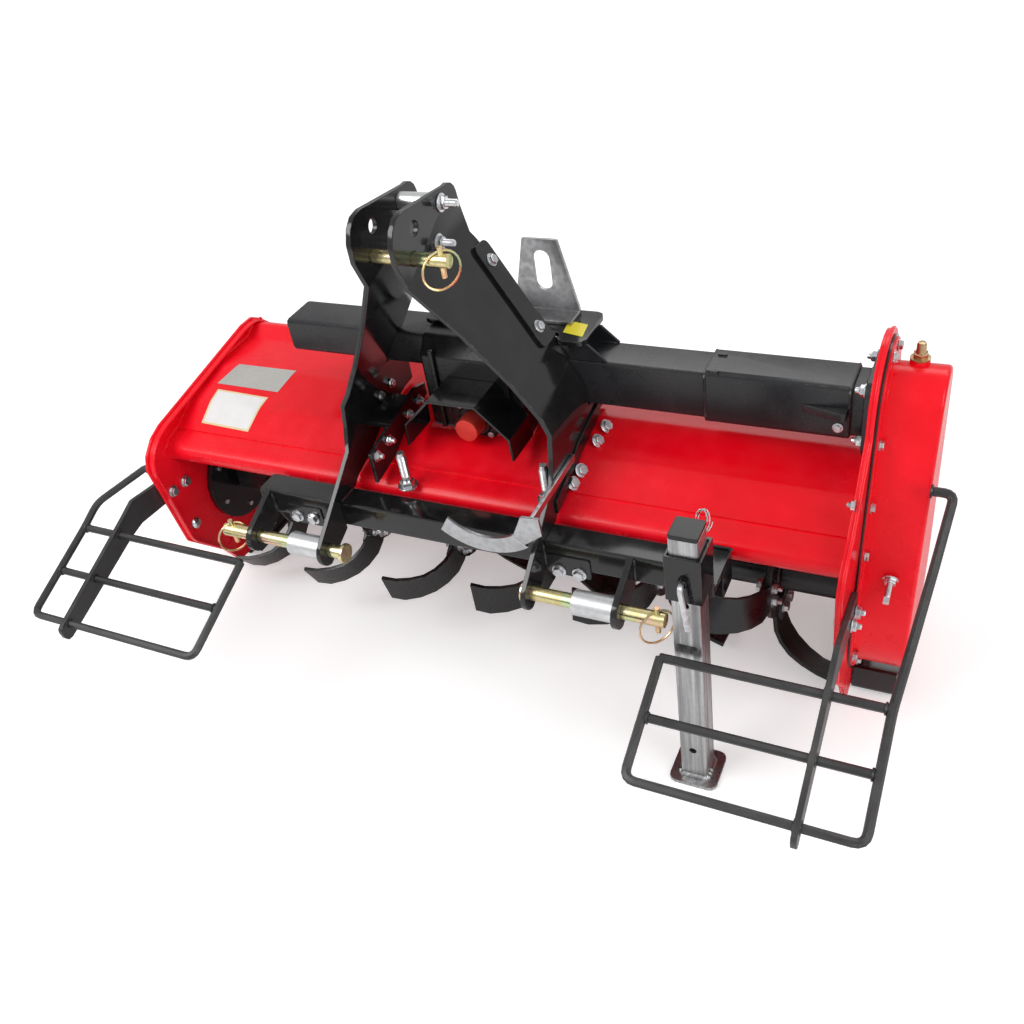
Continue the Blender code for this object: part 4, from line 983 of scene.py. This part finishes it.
LEG_X, LEG_Y, LEG_FRONT = 0.419, -0.010, -0.030
HOLE = [(0, -0.004), (0.0055, -0.004), (0.0055, 0.050), (0, 0.050)]
tools = [turned(HOLE, (LEG_X, LEG_FRONT, z), REAR, 20) for z in (0.0665, -0.2268)]
slot_cut = slab(oblong(-0.014, -0.0045, 0.014, 0.0045), "Z", -0.003, 0.010, 0.003, 0)
tools.append(moved(slot_cut, aim((LEG_X, LEG_FRONT, -0.0105), REAR)))
cut_piece("leg_tube", tools, LEG_ZINC, "leg")
half, foot_z = 0.0205, -PINS_UP + 0.0068
corners = [(LEG_X + a, LEG_Y + b, foot_z) for a, b in oblong(-half, -half, half, half)]
beads = [seam(pair, 0.0042) for pair in zip(corners, corners[1:] + corners[:1])]
piece("leg_foot_weld", join(*beads), LEG_ZINC, "leg")
guide = [(0.0045, 0), (0.0068, 0), (0.0068, 0.005), (0.0062, 0.006), (0.0045, 0.006)]
piece("lock_pin_guide", turned(guide, (LEG_X, LEG_Y - 0.0247, 0.113), FRONT, 24), BLACK)
beads = [seam([(LEG_X + a * 0.0244, 0.0125, z) for z in (0.0525, 0.074)], 0.0028) for a in (-1, 1)]
piece("sleeve_welds", join(*beads), BLACK)
# The lock pin's ring is a wire wound twice.
loop = []
for k in range(33):
    a = 2 * math.pi * k / 16
    loop.append((0.4270 + 0.0085 * math.cos(a) + 0.0005 * a, 0.0200 + 0.006 * math.sin(a) + 0.0002 * a,
                 0.1705 + 0.0140 * math.sin(a)))
eye = lathe([(0, 0), (0.0042, 0), (0.0042, 0.006), (0.0030, 0.008), (0.0030, 0.013), (0.0022, 0.014),
             (0, 0.014)], 16)
moved(eye, Matrix.Translation((0.4290, 0.0150, 0.1500)))
piece("leg_lock_ring", join(bar(loop, 0.0010, 8), eye), ZINC)
slots = [oblong(0.3680, y, 0.3815, y + 0.0062) for y in (0.2620, 0.3080)]
cut_piece("tube_cover", [slab(one, "Z", 0.2290, 0.2360, 0.0022, 0) for one in slots], SATIN)


# Welds of the guard rods

def ring_seam(x, y, z, radius=0.0078):
    # A bead round a rod that runs along X.
    a = Vector(RIGHT).orthogonal().normalized()
    b = Vector(RIGHT).cross(a)
    spots = [Vector((x, y, z)) + a * p + b * q for p, q in around(16, radius)]
    return bar(spots, 0.0020, 8, True, [1.0, 0.78] * 8)


def guard_height(y):
    return -0.028 + 0.062 * (y + 0.042) / 0.159


FRONT_ROD, MIDDLE_ROD, REAR_ROD = -0.201, -0.1215, -0.042
beads = []
for side, inner, outside in ((-1, 0.328, 0.675), (1, 0.384, 0.683)):
    for y in (FRONT_ROD, MIDDLE_ROD, REAR_ROD):
        for off in (0.0006, 0.0082):
            beads.append(ring_seam(BACK[side] + side * off, y, guard_height(y)))
    for x, y in ((inner + 0.0075, MIDDLE_ROD), (outside - 0.0075, MIDDLE_ROD), (outside - 0.0075, REAR_ROD)):
        beads.append(ring_seam(side * x, y, guard_height(y), 0.0070))
beads.append(ring_seam(BACK[-1] - 0.0008, 0.070, 0.034))
beads.append(ring_seam(0.6791, 0.214, 0.119))
piece("guard_welds", join(*beads), GUARD)

# Rotor: blade roots with their bolts, and the flanges' welds
SETS, PITCH, SET_MIDDLE, SET_TWIST = 6, 0.181, 0.0225, 12
FLANGE_BEAD = [(0.0318, 0.0), (0.0372, 0.0), (0.0362, 0.003), (0.0318, 0.0055)]
rows, pads, beads = [], [], []
for number in range(SETS):
    x = SET_MIDDLE + (number - (SETS - 1) / 2) * PITCH
    for k in range(4):
        angle = math.radians(90 * k - 93 + SET_TWIST * (SETS - 1 - number))
        side = 1 if k % 2 else -1
        turn = Matrix.Translation((0, *ROTOR)) @ Matrix.Rotation(angle, 4, "X")
        pad = slab(oblong(-0.0235, -0.0925, 0.0235, -0.040), "X", 0, 0.0068, 0.008)
        pads.append(moved(pad, turn @ Matrix.Translation((x + (0.0038 if side > 0 else -0.0106), 0, 0))))
        for sweep in (-0.0125, 0.0125):
            at = turn @ Vector((0, sweep, -0.0640))
            rows.append(("head", (x + side * 0.0108, at.y, at.z), (side, 0, 0), 0.0165))
            rows.append(("stud", (x - side * 0.0042, at.y, at.z), (-side, 0, 0), 0.0150))
    beads += [turned(FLANGE_BEAD, (x + s * 0.0039, *ROTOR), (s, 0, 0), 40) for s in (-1, 1)]
fasteners("blade_bolts", rows, body="rotor")
piece("blade_roots", join(*pads), BLADE, "rotor")
piece("rotor_welds", join(*beads), BLADE, "rotor")

# Rear flap with its ribs, sleeves, rolled hem and brackets
softened("rear_flap", RED, 0.0009, 2, 60, body="flap", smooth=32)
FLAP_LINE = [(0.010, -0.034), (0.014, -0.080), (0.008, -0.150), (-0.004, -0.215), (-0.010, -0.250)]
ribs = []
for x in (-0.44, -0.22, 0.0, 0.22, 0.44):
    line = [(x, HINGE[0] + y + 0.0012, HINGE[1] + z) for y, z in FLAP_LINE]
    ribs.append(bar(round_bend(line, 0.02), 0.007, 14))
piece("flap_ribs", join(*ribs), RED, "flap")
SLEEVE = [(0.0083, -0.03), (0.0118, -0.03), (0.0118, 0.03), (0.0083, 0.03), (0.0083, -0.03)]
sleeves = [turned(SLEEVE, (x, *HINGE), RIGHT) for x in (-0.48, 0.0, 0.48)]
piece("flap_hinge_sleeves", join(*sleeves), RED, "flap")
HEM_Y, HEM_Z = HINGE[0] - 0.0104, HINGE[1] - 0.2815
turns = [math.radians(a) for a in range(-60, 231, 15)]
curl = [(HEM_Y + 0.0050 * math.cos(a), HEM_Z - 0.0050 * math.sin(a)) for a in turns]
curl += [(HEM_Y + 0.0030 * math.cos(a), HEM_Z - 0.0030 * math.sin(a)) for a in reversed(turns)]
piece("flap_hem", slab(curl, "X", FACE[-1] + 0.009, FACE[1] - 0.009, 0, 0.0005), RED, "flap")
HOOK = [(0.446, 0.112), (0.462, 0.098), (0.4800, 0.0760), (0.4915, 0.0740), (0.4700, 0.1120)]
hooks = [slab(HOOK, "X", x - 0.003, x + 0.003, 0.003) for x in (-0.36, -0.12, 0.12, 0.36)]
piece("hinge_brackets", join(*hooks), RED)
rows = [("lock", (BACK[s] + s * 0.0002, *HINGE), (s, 0, 0), 0.020) for s in (-1, 1)]
fasteners("hinge_rod_ends", rows, body="flap")


# Blank labels

def stuck_on(name, corners, finish, onto, columns, rows):
    # A thin label laid on a piece: its four corners from far left, clockwise.
    bm = bmesh.new()
    bmesh.ops.create_grid(bm, x_segments=columns, y_segments=rows, size=0.5)
    tl, tr, br, bl = [Vector((*c, 0)) for c in corners]
    for v in bm.verts:
        a, b = v.co.x + 0.5, v.co.y + 0.5
        v.co = bl.lerp(br, a).lerp(tl.lerp(tr, a), b)
    moved(bm, TO_ROW)
    last = 0.5
    for v in bm.verts:
        found, at, _, _ = onto.ray_cast(Vector((v.co.x, v.co.y, 1.0)), Vector((0, 0, -1)))
        last = at.z if found else last
        v.co.z = last + 0.0003
    for f in bm.faces:
        f.material_index = 1 if any(e.is_boundary for e in f.edges) else 0
    bmesh.ops.solidify(bm, geom=bm.faces[:], thickness=-0.0003)
    bmesh.ops.recalc_face_normals(bm, faces=bm.faces)
    return piece(name, bm, finish, place=AS_IS)


hood = bpy.data.objects["hood_sheets"]
carrier = bpy.data.objects["carrier_plate_finished"]
stuck_on("white_label_blank", [(-0.541, 0.240), (-0.4262, 0.2368), (-0.4296, 0.1669), (-0.5353, 0.1697)],
         [WHITE_LABEL, LABEL_EDGE], hood, 30, 20)
stuck_on("data_plate_blank", [(-0.537, 0.3074), (-0.409, 0.309), (-0.4148, 0.252), (-0.5517, 0.2533)],
         [PLATE_BLANK, PLATE_BLANK], hood, 24, 14)
stuck_on("yellow_label_blank", [(0.1400, 0.3130), (0.1730, 0.3070), (0.1780, 0.2715), (0.1440, 0.2790)],
         [YELLOW_LABEL, YELLOW_LABEL], carrier, 12, 8)


# Floor, light and camera

def seen_directly(tree):
    path = put(tree, "LightPath").outputs
    return reckon(tree, "MAXIMUM", path["Is Camera Ray"], path["Is Transmission Ray"])


floor_finish, tree, shader = blank_finish("pale_floor")
place = own_place(tree)
tone = between(tree, cloud(tree, place, 3.0, 5.0), 0.3, 0.7)
tree.links.new(blend(tree, tone, (0.86, 0.86, 0.86), (0.90, 0.90, 0.90)), shader.inputs["Base Color"])
shader.inputs["Roughness"].default_value = 0.9
shader.inputs["Specular IOR Level"].default_value = 0.1
shader.inputs["Emission Color"].default_value = (1, 1, 1, 1)
far = put(tree, "VectorMath", {0: place}, operation="LENGTH").outputs["Value"]
lift = between(tree, far, 1.0, 9.0, 0.34, 1.0)
tree.links.new(times(tree, seen_directly(tree), lift), shader.inputs["Emission Strength"])
ground = bmesh.new()
bmesh.ops.create_circle(ground, segments=96, radius=30.0, cap_ends=True,
                        matrix=Matrix.Translation((0, 0, -0.0002)))
floor_mesh = bpy.data.meshes.new("floor")
ground.to_mesh(floor_mesh)
ground.free()
floor_mesh.materials.append(floor_finish)
floor = bpy.data.objects.new("floor", floor_mesh)
bpy.context.scene.collection.objects.link(floor)

sky = bpy.data.worlds.new("studio")
bpy.context.scene.world = sky
sky.use_nodes = True
tree = sky.node_tree
tree.nodes.clear()
strength = between(tree, seen_directly(tree), 0.0, 1.0, 0.56, 1.0)
background = put(tree, "Background", {"Color": (1, 1, 1, 1), "Strength": strength})
out = tree.nodes.new("ShaderNodeOutputWorld")
tree.links.new(background.outputs[0], out.inputs["Surface"])

CENTRE = ZERO + Vector((0.0, 0.10, 0.05))


def soft_box(name, at, size, watts):
    lamp = bpy.data.lights.new(name, "AREA")
    lamp.shape = "RECTANGLE"
    lamp.size, lamp.size_y = size
    lamp.energy = watts
    obj = bpy.data.objects.new(name, lamp)
    bpy.context.scene.collection.objects.link(obj)
    obj.location = ZERO + Vector(at)
    obj.rotation_euler = (CENTRE - obj.location).to_track_quat("-Z", "Y").to_euler()


soft_box("key_soft_box", (-1.9, -2.0, 2.9), (2.2, 2.2), 78.0)
soft_box("side_soft_box", (2.9, -1.2, 1.9), (1.6, 2.4), 42.0)
soft_box("back_soft_box", (0.2, 2.8, 2.6), (3.2, 1.2), 26.0)

# The camera as fitted to the photo: angles in degrees, the focal length in pixels of a square image.
AZIMUTH, ELEVATION, ROLL, FOCAL = 31.11, 38.0, -10.32, 1038.83
IMAGE, SENSOR = 1024, 36.0
EYE = Vector((0.7431, -0.9489, 1.0137))
az, el, roll = (math.radians(a) for a in (AZIMUTH, ELEVATION, ROLL))
ahead = Vector((-math.sin(az) * math.cos(el), math.cos(az) * math.cos(el), -math.sin(el)))
level = Vector((math.cos(az), math.sin(az), 0.0))
upright = level.cross(ahead)
right = level * math.cos(roll) + upright * math.sin(roll)
above = upright * math.cos(roll) - level * math.sin(roll)
lens = bpy.data.cameras.new("photo_view")
lens.sensor_width = SENSOR
lens.lens = SENSOR * FOCAL / IMAGE
lens.clip_start, lens.clip_end = 0.05, 100.0
camera = bpy.data.objects.new("photo_view", lens)
bpy.context.scene.collection.objects.link(camera)
camera.matrix_world = (Matrix.Translation(ZERO + EYE) @
                       Matrix((right, above, -ahead)).transposed().to_4x4())
bpy.context.scene.camera = camera
bpy.context.scene.view_settings.view_transform = "Standard"
